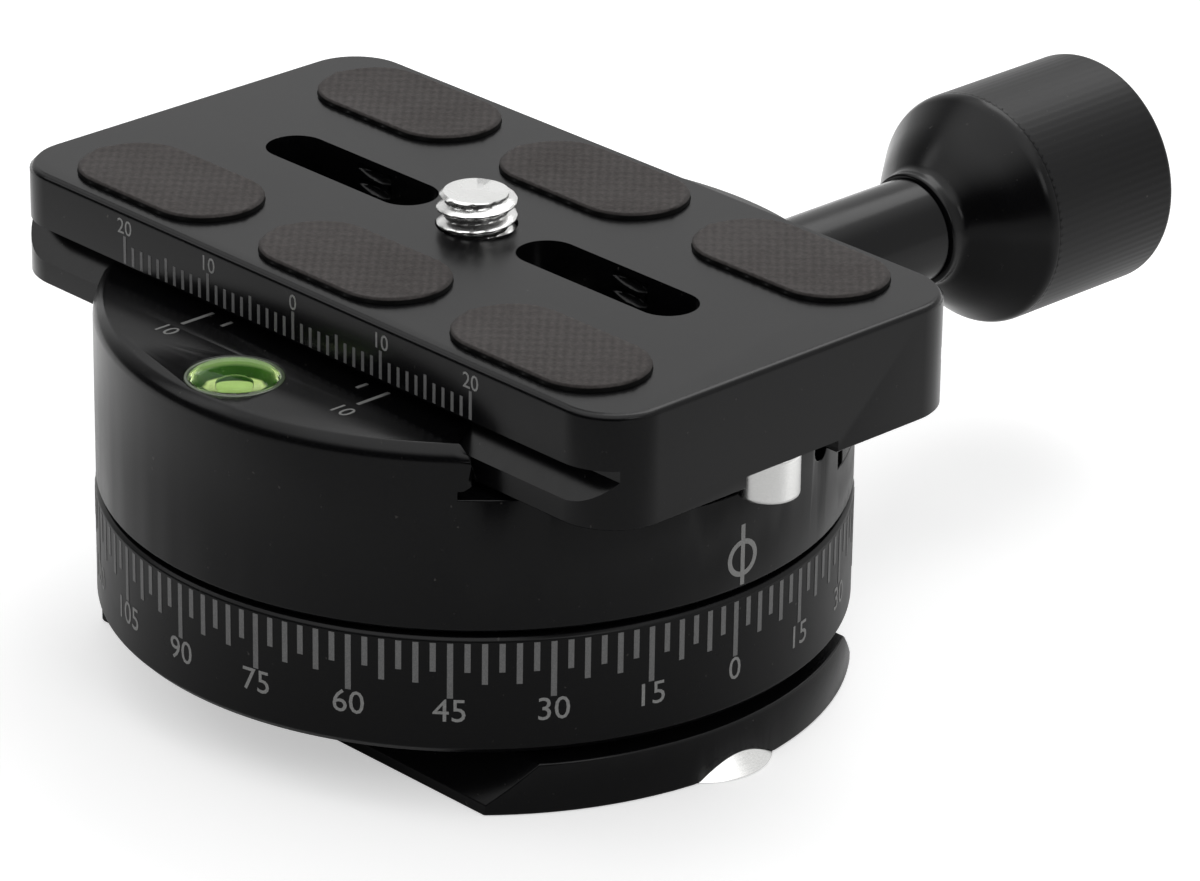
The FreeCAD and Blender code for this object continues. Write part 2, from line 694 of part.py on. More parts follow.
def clamp_nut_bush():
    body = new_part("clamp_nut_bush")
    lay_along_y(body)
    turn(body, tube_profile("screw_diameter / 2 + running_gap", "nut_bush_diameter / 2",
                            "nut_bush_root", "split_y - nut_bush_inset"))
    return body


def guide_pins():
    body = new_part("guide_pins", several=True)
    places = [(f"{side} * guide_spread", "guide_height") for side in BOTH_ENDS]
    add_along(body, "XZ_Plane", lambda sketch: circles(sketch, places, "guide_pin_diameter / 2"),
              "guide_pin_root", "guide_pin_tip")
    return body


def guide_grub_screws():
    body = new_part("guide_grub_screws", several=True)
    place = [("grub_y", "guide_height")]
    for low, high in (("grub_root", "grub_root + grub_length"),
                      ("-grub_root - grub_length", "-grub_root")):
        add_along(body, "YZ_Plane", lambda sketch: circles(sketch, place, "grub_diameter / 2"),
                  low, high)
    return body


def return_spring(label, side):
    """Coil spring round a guide pin; it pushes the moving jaw open."""
    body = new_part(label)
    lay_along_y(body, f"{side} * guide_spread", "spring_root", "guide_height")
    start = "spring_wire / 2 + spring_end_gap"
    sketch = circles(sketch_on(body, "XZ_Plane"),
                     [("(spring_diameter - spring_wire) / 2", start)], "spring_wire / 2")
    coil = feature(body, "PartDesign::AdditiveHelix", sketch)
    coil.ReferenceAxis = (sketch, ["V_Axis"])
    coil.Mode = "height-turns-angle"
    coil.setExpression("Height", formula(f"guide_bush_root - spring_root - 2 * ({start})"))
    coil.setExpression("Turns", formula("spring_coils"))
    document.recompute()
    return body


# -------------------------------------------------------------------------------- moving jaw


def moving_jaw():
    """Segment of the round body that slides along Y; its tongue runs in the body's slot."""
    body = new_part("moving_jaw")
    bottom = "tongue_floor + face_gap"
    turn(body, [("0", bottom), ("body_radius", bottom), ("body_radius", "jaw_top - body_upper_edge"),
                ("body_radius - body_upper_edge", "jaw_top"), ("0", "jaw_top")])
    shelf = "floor_height - face_gap"
    beyond = "-body_radius - 1"
    away = [(beyond, "tongue_floor - 1"), ("jaw_inner_y", "tongue_floor - 1"),
            ("jaw_inner_y", shelf), ("jaw_root_y + relief_reach", shelf),
            ("jaw_root_y + relief_reach", "floor_height + relief_depth"),
            ("jaw_root_y - relief_depth", "floor_height + relief_depth"),
            ("jaw_tip_y", "jaw_top"), ("jaw_tip_y", "jaw_top + 1"), (beyond, "jaw_top + 1")]
    cut_along(body, "YZ_Plane", lambda sketch: outline(sketch, away), "-body_radius", "body_radius")
    for side in BOTH_ENDS:
        near, far = f"{side} * tongue_width / 2", f"{side} * (body_radius + 1)"
        cut_along(body, "XY_Plane",
                  lambda sketch: box_outline(sketch, near, "0", far, "body_radius + 1"),
                  bottom, "ledge_height + face_gap")
    axis = [("0", "screw_height")]
    cut_along(body, "XZ_Plane",
              lambda sketch: circles(sketch, axis, "screw_diameter / 2 + running_gap"),
              "jaw_inner_y", "body_radius")
    cut_along(body, "XZ_Plane", lambda sketch: circles(sketch, axis, "spot_face_diameter / 2"),
              "spot_face_y", "body_radius + 1")
    pins = [(f"{side} * guide_spread", "guide_height") for side in BOTH_ENDS]
    cut_along(body, "XZ_Plane", lambda sketch: circles(sketch, pins, "guide_bush_radius"),
              "jaw_inner_y", "guide_bush_root + guide_bush_length")
    cut_along(body, "XZ_Plane",
              lambda sketch: circles(sketch, pins, "guide_pin_diameter / 2 + running_gap"),
              "guide_bush_root + guide_bush_length", "guide_pin_tip + face_gap")
    return body


def guide_bushes():
    body = new_part("guide_bushes", several=True)
    places = [(f"{side} * guide_spread", "guide_height") for side in BOTH_ENDS]
    high = "guide_bush_root + guide_bush_length"
    add_along(body, "XZ_Plane", lambda sketch: circles(sketch, places, "guide_bush_radius"),
              "guide_bush_root", high)
    cut_along(body, "XZ_Plane",
              lambda sketch: circles(sketch, places, "guide_pin_diameter / 2 + running_gap"),
              "guide_bush_root", high)
    return body


def thrust_washer():
    body = new_part("thrust_washer")
    lay_along_y(body)
    turn(body, tube_profile("screw_diameter / 2 + running_gap", "thrust_washer_diameter / 2",
                            "spot_face_y", "spot_face_y + thrust_washer_thickness"))
    return body


# ------------------------------------------------------------------------------ screw and knob


def clamp_screw():
    body = new_part("clamp_screw")
    lay_along_y(body)
    radius = "screw_diameter / 2"
    tip = "screw_tip_y"
    turn(body, [("0", tip), (f"{radius} - screw_tip_edge", tip),
                (radius, f"{tip} + screw_tip_edge"),
                (radius, "stem_end_y + knob_screw_depth"), ("0", "stem_end_y + knob_screw_depth")])
    return body


def screw_keeper_clip():
    """Clip on the screw behind the jaw, so that unscrewing the knob draws the jaw open."""
    body = new_part("screw_keeper_clip")
    lay_along_y(body)
    high = "jaw_inner_y - clip_clearance"
    turn(body, tube_profile("screw_diameter / 2", "clip_diameter / 2",
                            f"{high} - clip_thickness", high))
    return body


def knob_stem():
    body = new_part("knob_stem")
    lay_along_y(body)
    turn(body, tube_profile("screw_diameter / 2", "stem_diameter / 2", "stem_root_y", "stem_end_y"))
    return body


def knob_grip():
    """Knob with a bell-shaped back towards the stem and a straight barrel for the fingers."""
    body = new_part("knob_grip")
    lay_along_y(body)
    radius = "knob_diameter / 2"
    bore = "screw_diameter / 2"
    hold = "stem_end_y + knob_screw_depth"
    cap = "knob_cap_diameter / 2"
    seat = "knob_end_y - knob_cap_depth"
    turn(body, [(bore, "stem_end_y"), ("knob_collar_diameter / 2", "stem_end_y"),
                ("knob_collar_diameter / 2", "knob_bell_y"),
                ("knob_waist_diameter / 2", "knob_bell_y + knob_waist_length"),
                (radius, "knob_rim_y"), (radius, "knob_end_y - knob_end_edge"),
                (f"{radius} - knob_end_edge", "knob_end_y"), (cap, "knob_end_y"), (cap, seat),
                ("0", seat), ("0", hold), (bore, hold)])
    rim = edges_at(body, lambda point: abs(math.hypot(point.x, point.z - value("screw_height"))
                                           - value("knob_diameter") / 2) < NEAR
                   and abs(point.y - value("knob_rim_y")) < NEAR)
    dress(body, "PartDesign::Fillet", rim, "Radius", "knob_rim_round")
    return body


def knob_cap():
    body = new_part("knob_cap")
    lay_along_y(body)
    seat = "knob_end_y - knob_cap_depth"
    high = f"{seat} + knob_cap_thickness"
    radius = "knob_cap_diameter / 2"
    turn(body, [("0", seat), (radius, seat), (radius, f"{high} - knob_cap_edge"),
                (f"{radius} - knob_cap_edge", high), ("0", high)])
    return body


# ------------------------------------------------------------------------------- bubble level


def level_housing():
    body = new_part("level_housing")
    body.setExpression("Placement.Base.y", formula("level_y"))
    radius = "level_diameter / 2"
    turn(body, [("0", "level_bottom"), (radius, "level_bottom"), (radius, "jaw_top"),
                (f"{radius} - level_wall", "jaw_top"),
                (f"{radius} - level_wall", "level_bottom + level_floor"),
                ("0", "level_bottom + level_floor")])
    return body


def level_liquid():
    body = new_part("level_liquid")
    body.setExpression("Placement.Base.y", formula("level_y"))
    turn(body, tube_profile("0", "level_diameter / 2 - level_wall", "level_bottom + level_floor",
                            "jaw_top - level_lens_thickness"))
    return body


def level_lens():
    body = new_part("level_lens")
    body.setExpression("Placement.Base.y", formula("level_y"))
    turn(body, tube_profile("0", "level_diameter / 2 - level_wall",
                            "jaw_top - level_lens_thickness", "jaw_top"))
    return body


# ------------------------------------------------------------------------ quick-release plate

PAD_PLACES = {
    "pad_front_left": ("-pad_spread_x", "-pad_spread_y"),
    "pad_front_middle": ("0", "-pad_spread_y"),
    "pad_front_right": ("pad_spread_x", "-pad_spread_y"),
    "pad_back_left": ("-pad_spread_x", "pad_spread_y"),
    "pad_back_middle": ("0", "pad_spread_y"),
    "pad_back_right": ("pad_spread_x", "pad_spread_y"),
}


def pad_outline(sketch, place):
    across, along = place
    reach = "(pad_length - pad_width) / 2"
    return stadium(sketch, f"{across} - {reach}", f"{across} + {reach}", along, "pad_width / 2")


def quick_release_plate():
    """Slab with a dovetail lower lip, two long slots and six shallow recesses for the pads."""
    body = new_part("quick_release_plate")
    half_length = "plate_length / 2"
    add_along(body, "XY_Plane",
              lambda sketch: box_outline(sketch, f"-{half_length}", "-plate_half", half_length,
                                         "plate_half"), "floor_height", "plate_top")
    upright = [name for name, edge in zip(edges_at(body, lambda point: True), body.Shape.Edges)
               if abs(edge.Vertexes[0].Z - edge.Vertexes[1].Z) > NEAR]
    dress(body, "PartDesign::Fillet", upright, "Radius", "plate_corner")
    rim = edges_at(body, lambda point: abs(point.z - value("plate_top")) < NEAR)
    dress(body, "PartDesign::Chamfer", rim, "Size", "plate_edge")
    rim = edges_at(body, lambda point: abs(point.z - value("floor_height")) < NEAR)
    dress(body, "PartDesign::Chamfer", rim, "Size", "plate_lower_edge")
    for side in BOTH_ENDS:
        groove = [(f"{side} * plate_half", "flank_foot"),
                  (f"{side} * plate_waist", "flank_foot + plate_groove_depth"),
                  (f"{side} * plate_waist", "slab_bottom"),
                  (f"{side} * (plate_half + 1)", "slab_bottom"),
                  (f"{side} * (plate_half + 1)", "flank_foot")]
        cut_along(body, "YZ_Plane", lambda sketch: outline(sketch, groove),
                  f"-{half_length}", half_length)
    half = "plate_channel_width / 2"
    cut_along(body, "YZ_Plane",
              lambda sketch: box_outline(sketch, f"-{half}", "floor_height - 1", half,
                                         "floor_height + plate_channel_depth"),
              f"-{half_length}", half_length)
    middle = [("0", "0")]
    cut_along(body, "XY_Plane",
              lambda sketch: circles(sketch, middle, "camera_room_diameter / 2"),
              "floor_height", "camera_room_top")
    cut_along(body, "XY_Plane",
              lambda sketch: circles(sketch, middle, "camera_room_diameter / 2 + keeper_groove"),
              "keeper_top - keeper_thickness", "keeper_top")
    cut_along(body, "XY_Plane",
              lambda sketch: circles(sketch, middle,
                                     "camera_thread_diameter / 2 + camera_hole_gap"),
              "floor_height", "plate_top")
    for side in BOTH_ENDS:
        ends = ("slot_near", "slot_far") if side > 0 else ("-slot_far", "-slot_near")
        cut_along(body, "XY_Plane",
                  lambda sketch: stadium(sketch, *ends, "0", "slot_width / 2"),
                  "floor_height", "plate_top")
    threads = [(f"{side} * slot_thread_x", "0") for side in BOTH_ENDS]
    cut_along(body, "XY_Plane",
              lambda sketch: circles(sketch, threads, "slot_thread_diameter / 2"),
              "floor_height", "plate_top - slot_thread_cover")
    for place in PAD_PLACES.values():
        cut_along(body, "XY_Plane", lambda sketch: pad_outline(sketch, place),
                  "pad_bottom", "plate_top")
    holes = [(f"{side} * plate_stop_x", "0") for side in BOTH_ENDS]
    ceiling = "floor_height + plate_channel_depth"
    cut_along(body, "XY_Plane", lambda sketch: circles(sketch, holes, "plate_stop_thread / 2"),
              ceiling, f"{ceiling} + plate_stop_thread_length")
    return body


def rubber_pad(label, place):
    body = new_part(label)
    add_along(body, "XY_Plane", lambda sketch: pad_outline(sketch, place),
              "pad_bottom", "plate_top + pad_stand")
    return body


def plate_stop_screws():
    body = new_part("plate_stop_screws", several=True)
    places = [(f"{side} * plate_stop_x", "0") for side in BOTH_ENDS]
    ceiling = "floor_height + plate_channel_depth"
    add_along(body, "XY_Plane", lambda sketch: circles(sketch, places, "plate_stop_diameter / 2"),
              "floor_height - plate_stop_drop", ceiling)
    add_along(body, "XY_Plane", lambda sketch: circles(sketch, places, "plate_stop_thread / 2"),
              ceiling, f"{ceiling} + plate_stop_thread_length")
    return body


# -------------------------------------------------------------------------------- camera screw


def camera_screw():
    """Slotted screw, held captive in the plate, that fastens the camera."""
    body = new_part("camera_screw")
    head, neck = "camera_head_diameter / 2", "camera_neck_diameter / 2"
    thread = "camera_thread_diameter / 2"
    thread_root = "camera_screw_top - camera_thread_length"
    turn(body, [("0", "camera_head_bottom"), (head, "camera_head_bottom"),
                (head, "camera_head_top"), (neck, "camera_head_top"), (neck, thread_root),
                (thread, thread_root), (thread, "camera_screw_top - camera_thread_edge"),
                (f"{thread} - camera_thread_edge", "camera_screw_top"),
                ("0", "camera_screw_top")])
    half = "camera_slot_width / 2"
    cut_along(body, "XY_Plane",
              lambda sketch: box_outline(sketch, "-camera_head_diameter", f"-{half}",
                                         "camera_head_diameter", half),
              "camera_head_bottom", "camera_head_bottom + camera_slot_depth")
    return body


def camera_screw_washer():
    """Nylon washer on the screw's head; it rides up and down with the screw but doesn't turn."""
    body = new_part("camera_screw_washer")
    turn(body, tube_profile("camera_thread_diameter / 2 + camera_hole_gap",
                            "camera_washer_diameter / 2", "camera_head_top", "camera_washer_top"))
    return body


def screw_keeper_ring():
    """Snap ring in the plate's groove, under the camera screw's head."""
    body = new_part("screw_keeper_ring")
    turn(body, tube_profile("keeper_inner_diameter / 2", "camera_room_diameter / 2 + keeper_groove",
                            "keeper_top - keeper_thickness", "keeper_top"))
    return body


# ------------------------------------------------------------------------------ build and save

parts = [
    dovetail_foot(), foot_stop_screws(), tripod_thread_bush(), base_screws(), dial_ring(),
    bearing_bush(), friction_ring(),
    pan_spindle(), spindle_screws(), ring_nut(), wave_spring(), lower_thrust_washer(),
    clamp_body(), clamp_nut_bush(), guide_pins(), guide_grub_screws(),
    return_spring("return_spring_left", -1), return_spring("return_spring_right", 1),
    moving_jaw(), guide_bushes(), thrust_washer(),
    clamp_screw(), screw_keeper_clip(), knob_stem(), knob_grip(), knob_cap(),
    level_housing(), level_liquid(), level_lens(),
    quick_release_plate(), plate_stop_screws(), screw_keeper_ring(),
    camera_screw(), camera_screw_washer(),
]
parts += [rubber_pad(label, place) for label, place in PAD_PLACES.items()]

document.recompute()
for item in document.Objects:
    if "Invalid" in item.State or "Error" in item.State:
        raise RuntimeError(f"{item.Label} failed: {item.State}")
for part in parts:
    if part.Shape.isNull() or not part.Shape.isValid():
        raise RuntimeError(f"{part.Label} has no valid shape")

os.makedirs("parts", exist_ok=True)
for part in parts:
    part.Shape.exportStep(f"parts/{part.Label}.step")
    print(f"{part.Label}: {len(part.Shape.Solids)} solid(s), {part.Shape.Volume:.1f} mm3")
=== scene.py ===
# %% [markdown]
# # A panoramic tripod head
# This head turns a camera in measured steps. From the bottom up it has a dovetail foot, a ring
# with a degree scale, a round clamp that turns on that ring, a jaw drawn in by a ribbed knob,
# and a quick-release plate with rubber pads and the camera's screw.
# The CAD model comes in first as a fixed frame. Everything that is made here is in the same
# place and at the same size, so a new piece goes where the CAD says.

# %% Load the frame
import math

import bmesh
import bpy
import numpy as np
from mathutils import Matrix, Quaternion, Vector


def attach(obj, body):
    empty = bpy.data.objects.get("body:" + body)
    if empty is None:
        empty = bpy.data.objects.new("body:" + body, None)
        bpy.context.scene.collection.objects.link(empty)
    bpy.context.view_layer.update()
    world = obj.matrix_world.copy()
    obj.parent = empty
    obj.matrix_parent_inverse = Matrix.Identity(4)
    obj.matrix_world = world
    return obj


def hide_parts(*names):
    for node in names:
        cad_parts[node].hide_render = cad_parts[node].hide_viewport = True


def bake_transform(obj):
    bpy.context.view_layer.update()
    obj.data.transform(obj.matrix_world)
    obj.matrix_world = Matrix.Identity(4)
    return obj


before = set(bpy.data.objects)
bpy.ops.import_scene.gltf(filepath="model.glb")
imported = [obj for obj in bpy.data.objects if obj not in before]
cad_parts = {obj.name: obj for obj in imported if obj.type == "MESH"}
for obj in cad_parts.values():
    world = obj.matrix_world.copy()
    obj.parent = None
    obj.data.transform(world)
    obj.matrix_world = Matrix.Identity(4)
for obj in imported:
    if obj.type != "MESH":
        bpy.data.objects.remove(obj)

MM = 0.001
scene = bpy.context.scene
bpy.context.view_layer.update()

# %% [markdown]
# ## Camera
# The head is seen from its front right corner, from about 25 degrees above. A long lens half a
# metre away keeps the sides nearly parallel, as in a catalogue picture. The camera looks along
# its own -Z, so +Z of the camera is the direction from the head back to the lens.

# %% Camera
camera_data = bpy.data.cameras.new("studio_camera")
camera_data.lens = 188.895
camera_data.sensor_width = 36.0
camera_data.clip_start = 0.01
camera = bpy.data.objects.new("studio_camera", camera_data)
scene.collection.objects.link(camera)
azimuth = math.radians(43.984)
elevation = math.radians(24.418)
to_lens = Vector((math.cos(azimuth) * math.cos(elevation),
                  -math.sin(azimuth) * math.cos(elevation), math.sin(elevation)))
camera.location = Vector((333.345, -308.017, 223.836)) * MM
camera.rotation_mode = "QUATERNION"
roll = Quaternion((0, 0, 1), math.radians(0.883))
camera.rotation_quaternion = to_lens.to_track_quat("Z", "Y") @ roll
scene.camera = camera
scene.view_settings.view_transform = "Standard"
print("camera looks from", np.round(np.array(camera.location) / MM, 1).tolist(), "mm")

# %% [markdown]
# ## Studio
# A black object is drawn by what it reflects. The room is a tent that is white above the head
# and behind it, and open and dark low on the front side, towards -Y. So the top, which mirrors
# the back of the tent at a shallow angle, comes out lighter than the sides, and rounded edges
# that face the opening turn black. The world is plain white for the camera, and an even, dimmer
# light for dull surfaces, so that colours render about as they are written. Three large soft
# lamps add a little direction.

# %% Small helpers for shader nodes


def feed(tree, socket, value):
    """Links a socket where the value is another node's socket, and otherwise sets it."""
    if isinstance(value, bpy.types.NodeSocket):
        tree.links.new(value, socket)
    else:
        socket.default_value = value


def add(tree, kind, feeds=None, **settings):
    """Adds a node, sets its properties, and feeds its inputs, which are given by name or place."""
    made = tree.nodes.new(kind)
    for name, setting in settings.items():
        setattr(made, name, setting)
    for label, value in (feeds or {}).items():
        feed(tree, made.inputs[label], value)
    return made


def calculate(tree, operation, first, second):
    """The result of one Math node on two numbers."""
    return add(tree, "ShaderNodeMath", {0: first, 1: second}, operation=operation).outputs[0]


def ramp(tree, value, start, end, low=0.0, high=1.0, smooth=False):
    """low where the value is at start, high where it is at end, straight or smooth between."""
    kind = "SMOOTHSTEP" if smooth else "LINEAR"
    return add(tree, "ShaderNodeMapRange", {0: value, 1: start, 2: end, 3: low, 4: high},
               interpolation_type=kind).outputs["Result"]


def choose(tree, mask, low, high, colour=False):
    """low where the mask is 0, high where it is 1. Both are numbers, or colours where colour is
    true, because the Mix node has sockets of their own for these."""
    first, output = (6, 2) if colour else (2, 0)
    return add(tree, "ShaderNodeMix", {0: mask, first: low, first + 1: high},
               data_type="RGBA" if colour else "FLOAT").outputs[output]


# %% The tent as a mirror sees it
OPENING_TONE = 0.04
ZENITH_TONE = 2.6


def tent_tone(tree):
    """White behind the head or high up, brighter towards the zenith, and dark low in front: the
    larger of two soft steps, one of the height of the direction, one of how far it points away
    from the opening, along +Y."""
    towards = add(tree, "ShaderNodeTexCoord").outputs["Generated"]
    parts = add(tree, "ShaderNodeSeparateXYZ", {0: towards}).outputs
    high = ramp(tree, parts["Z"], 0.48, 0.72, smooth=True)
    behind = ramp(tree, parts["Y"], -0.45, 0.35, smooth=True)
    zenith = ramp(tree, parts["Z"], 0.60, 0.90, 1.0, ZENITH_TONE, smooth=True)
    return choose(tree, calculate(tree, "MAXIMUM", high, behind), OPENING_TONE, zenith)


# %% White room
ROOM_LIGHT = 0.62

world = bpy.data.worlds.new("white_room")
world.use_nodes = True
scene.world = world
room = world.node_tree
white = room.nodes["Background"]
white.inputs["Color"].default_value = (1, 1, 1, 1)
rays = add(room, "ShaderNodeLightPath")
mirrored = choose(room, rays.outputs["Is Glossy Ray"], ROOM_LIGHT, tent_tone(room))
through = choose(room, rays.outputs["Is Transmission Ray"], mirrored, 1.0)
seen = choose(room, rays.outputs["Is Camera Ray"], through, 1.0)
feed(room, white.inputs["Strength"], seen)
print("room light for plain surfaces:", ROOM_LIGHT)

# %% Soft lamps


def softbox(name, place, size, power):
    """A square lamp that faces the middle of the head."""
    lamp = bpy.data.lights.new(name, "AREA")
    lamp.shape = "SQUARE"
    lamp.size = size
    lamp.energy = power
    holder = bpy.data.objects.new(name, lamp)
    holder.location = place
    aim = Vector(place) - Vector((0, 0.01, 0.02))
    holder.rotation_mode = "QUATERNION"
    holder.rotation_quaternion = aim.to_track_quat("Z", "Y")
    scene.collection.objects.link(holder)


softbox("back_softbox", (-0.25, 0.55, 0.75), 0.5, 2.2)
softbox("left_softbox", (-0.70, -0.42, 0.62), 0.3, 0.6)
softbox("right_softbox", (0.75, -0.10, 0.48), 0.3, 0.8)

# %% [markdown]
# ## Shapes as surfaces
# Almost every part here was turned on a lathe or milled, so two ideas make them: a profile
# carried round an axis, and a closed outline carried along a line. Both give a grid of points,
# and neighbouring points are joined by four-sided faces. A sharp corner of a real part is always
# slightly rounded, and that small round is what catches the light.

# %% A grid of points and its faces


def grid_faces(rows, columns, wrap_rows=False, wrap_columns=True):
    """Four neighbours make a face: (i, j), (i, j+1), (i+1, j+1), (i+1, j), and wrapping joins the
    last row or column to the first."""
    i = np.arange(rows if wrap_rows else rows - 1)[:, None]
    j = np.arange(columns if wrap_columns else columns - 1)[None, :]
    down, right = (i + 1) % rows, (j + 1) % columns
    corners = [i * columns + j, i * columns + right, down * columns + right, down * columns + j]
    return np.stack(np.broadcast_arrays(*corners), -1).reshape(-1, 4)


def surface(points, wrap_rows=False, wrap_columns=True):
    """A grid of points, rows x columns x 3, with its faces."""
    rows, columns = points.shape[:2]
    return points.reshape(-1, 3), grid_faces(rows, columns, wrap_rows, wrap_columns).tolist()


def together(*surfaces):
    """Several surfaces as one: each one's faces count on from the points before it."""
    starts = np.cumsum([0] + [len(points) for points, _ in surfaces])
    points = np.concatenate([points for points, _ in surfaces])
    faces = [[corner + start for corner in face]
             for (_, own), start in zip(surfaces, starts) for face in own]
    return points, faces


# %% From a surface to a piece
MEET = 3e-7
CRISP = math.radians(40)


def hand_over(name, mesh, finish, body, stands_for):
    """Makes the mesh an object with its finish, attaches it to the body it rides on, and hides the
    CAD nodes it stands for."""
    mesh.materials.clear()
    mesh.materials.append(finish)
    made = bpy.data.objects.new(name, mesh)
    scene.collection.objects.link(made)
    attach(made, body)
    if stands_for:
        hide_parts(*stands_for)
    print(f"{name}: {len(mesh.polygons)} faces on {body}")
    return made


def piece(name, shape, finish, body, stands_for=()):
    """Points in mm go to metres, points closer than MEET are merged, which closes seams and
    poles, normals turn outwards, and corners sharper than CRISP stay sharp."""
    points, faces = shape
    mesh = bpy.data.meshes.new(name)
    mesh.from_pydata((np.asarray(points) * MM).tolist(), [], faces)
    shell = bmesh.new()
    shell.from_mesh(mesh)
    bmesh.ops.remove_doubles(shell, verts=shell.verts, dist=MEET)
    bmesh.ops.recalc_face_normals(shell, faces=shell.faces)
    shell.to_mesh(mesh)
    shell.free()
    mesh.shade_smooth()
    mesh.set_sharp_from_angle(angle=CRISP)
    return hand_over(name, mesh, finish, body, stands_for)


# %% Profiles with eased corners
HOLD = 0.08


def eased(corners, setback=0.15, closed=False, steps=4):
    """A run of straight lines whose corners are rounded. At corner P, with unit directions u and
    v to its neighbours and setback t, the curve is (1-s)^2 (P+ut) + 2s(1-s) P + s^2 (P+vt). One
    more point on each line, HOLD further along, keeps the shading of the flats flat."""
    corner = np.asarray(corners, float)
    back, ahead = np.roll(corner, 1, 0) - corner, np.roll(corner, -1, 0) - corner
    back_length, ahead_length = np.hypot(*back.T), np.hypot(*ahead.T)
    shorter = np.minimum(back_length, ahead_length)
    cut = np.minimum(np.broadcast_to(setback, len(corner)), 0.42 * shorter)[:, None, None]
    extra = np.minimum(HOLD, 0.07 * shorter)[:, None, None]
    u, v = (back / back_length[:, None])[:, None], (ahead / ahead_length[:, None])[:, None]
    s = np.linspace(0, 1, steps)[None, :, None]
    middle = corner[:, None]
    curve = ((1 - s) ** 2 * (middle + u * cut) + 2 * s * (1 - s) * middle
             + s ** 2 * (middle + v * cut))
    run = np.concatenate([middle + u * (cut + extra), curve, middle + v * (cut + extra)], 1)
    if closed:
        return run.reshape(-1, 2)
    return np.concatenate([corner[:1], run[1:-1].reshape(-1, 2), corner[-1:]])


# %% Turned parts


def carried_round(radius, height, along="z", centre=(0, 0, 0), turns=96):
    """A profile carried round an axis: point (i, j) is at r_i(a_j) cos a_j, r_i(a_j) sin a_j
    across the axis and h_i along it. The radius may be one number for each row or change with
    the angle, as on a ribbed or threaded part."""
    angle = np.linspace(0, 2 * np.pi, turns, endpoint=False)
    radius = np.asarray(radius, float)
    radius = radius[:, None] + 0 * angle if radius.ndim == 1 else radius
    height = np.asarray(height, float)[:, None] + 0 * angle
    across, up = radius * np.cos(angle), radius * np.sin(angle)
    order = [across, up, height] if along == "z" else [across, height, up]
    return np.stack(order, -1) + np.asarray(centre, float)


def turned(corners, setback=0.15, closed=False, **where):
    """A solid of revolution from (radius, height) corners. An open run starts and ends on the
    axis, and a closed one goes round the wall of a tube."""
    radius, height = eased(corners, setback, closed).T
    return surface(carried_round(radius, height, **where), wrap_rows=closed)


def tube(inner, outer, low, high, setback=0.1, **where):
    """A plain ring or tube with rounded corners."""
    corners = [(inner, low), (outer, low), (outer, high), (inner, high)]
    return turned(corners, setback, closed=True, **where)


# %% [markdown]
# ## Softened copies
# The foot, the clamp and the plate are milled, with pockets and dovetails in them. Their CAD
# shape is right, but its corners are perfectly sharp and would render as paper. A copy of the
# CAD mesh is merged, its flat faces are joined, and a Bevel modifier rounds what is sharp.
# Hardened normals keep the flat faces flat. The plate has narrow chamfers already, so there the
# chamfers are only shaded as rounds: each of their corners takes the normal of the largest face
# that meets it, which the Weighted Normal modifier works out.

# %% A copy of a CAD node with rounded corners
CAD_MEET = 1e-6
FLAT = math.radians(0.6)
SHARP = math.radians(30)


def softened(node, name, finish, body, width=0.12, shape=None, chamfers=None):
    """Copies the node's mesh, merges it, dissolves flat faces, and rounds corners above SHARP
    by width in mm. shape may change the copy first. chamfers says which faces are chamfers to be
    shaded as rounds, and then nothing is rounded."""
    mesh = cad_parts[node].data.copy()
    mesh.name = name
    shell = bmesh.new()
    shell.from_mesh(mesh)
    bmesh.ops.remove_doubles(shell, verts=shell.verts, dist=CAD_MEET)
    bmesh.ops.dissolve_limit(shell, angle_limit=FLAT, verts=shell.verts, edges=shell.edges)
    for face in shell.faces:
        face.smooth = True
    if shape:
        shape(shell)
    if chamfers:
        narrow = {face for face in shell.faces if chamfers(face)}
        for edge in shell.edges:
            edge.smooth = (edge.calc_face_angle(0) < SHARP
                           or any(face in narrow for face in edge.link_faces))
    shell.to_mesh(mesh)
    shell.free()
    made = hand_over(name, mesh, finish, body, [node])
    if chamfers:
        weighted = made.modifiers.new("flat_faces_first", "WEIGHTED_NORMAL")
        weighted.mode = "FACE_AREA"
        weighted.weight = 100
        weighted.keep_sharp = True
    else:
        bevel = made.modifiers.new("rounded_corners", "BEVEL")
        bevel.width = width * MM
        bevel.segments = 2
        bevel.limit_method = "ANGLE"
        bevel.angle_limit = SHARP
        bevel.use_clamp_overlap = False
        bevel.harden_normals = True


# %% [markdown]
# ## Surface effects
# Anodised aluminium is not one flat black. Bead blasting leaves a fine grain, a lathe leaves
# rings, and hands leave faint dull patches. Each effect is a node group that is made once, and
# each finish takes it with its own numbers.

# %% Node groups


def effect(name, sizes, masks):
    """An empty node group: a place and sizes in mm go in, masks come out."""
    tree = bpy.data.node_groups.new(name, "ShaderNodeTree")
    tree.interface.new_socket("Place", in_out="INPUT", socket_type="NodeSocketVector")
    for label, start in sizes.items():
        socket = tree.interface.new_socket(label, in_out="INPUT", socket_type="NodeSocketFloat")
        socket.default_value = start
    for label in masks:
        tree.interface.new_socket(label, in_out="OUTPUT", socket_type="NodeSocketFloat")
    return tree, add(tree, "NodeGroupInput").outputs, add(tree, "NodeGroupOutput").inputs


def noise(tree, place, scale, detail, rough=0.5):
    """Noise from 0 to 1 with scale cells to the metre."""
    return add(tree, "ShaderNodeTexNoise",
               {"Vector": place, "Scale": scale, "Detail": detail, "Roughness": rough}).outputs[0]


def make_grain():
    """Fine pits: noise whose cells are as large as the grain."""
    tree, given, out = effect("fine_grain", {"Grain mm": 0.2}, ["Mask"])
    scale = calculate(tree, "DIVIDE", 1 / MM, given["Grain mm"])
    feed(tree, out["Mask"], noise(tree, given["Place"], scale, 3.0, 0.6))
    return tree


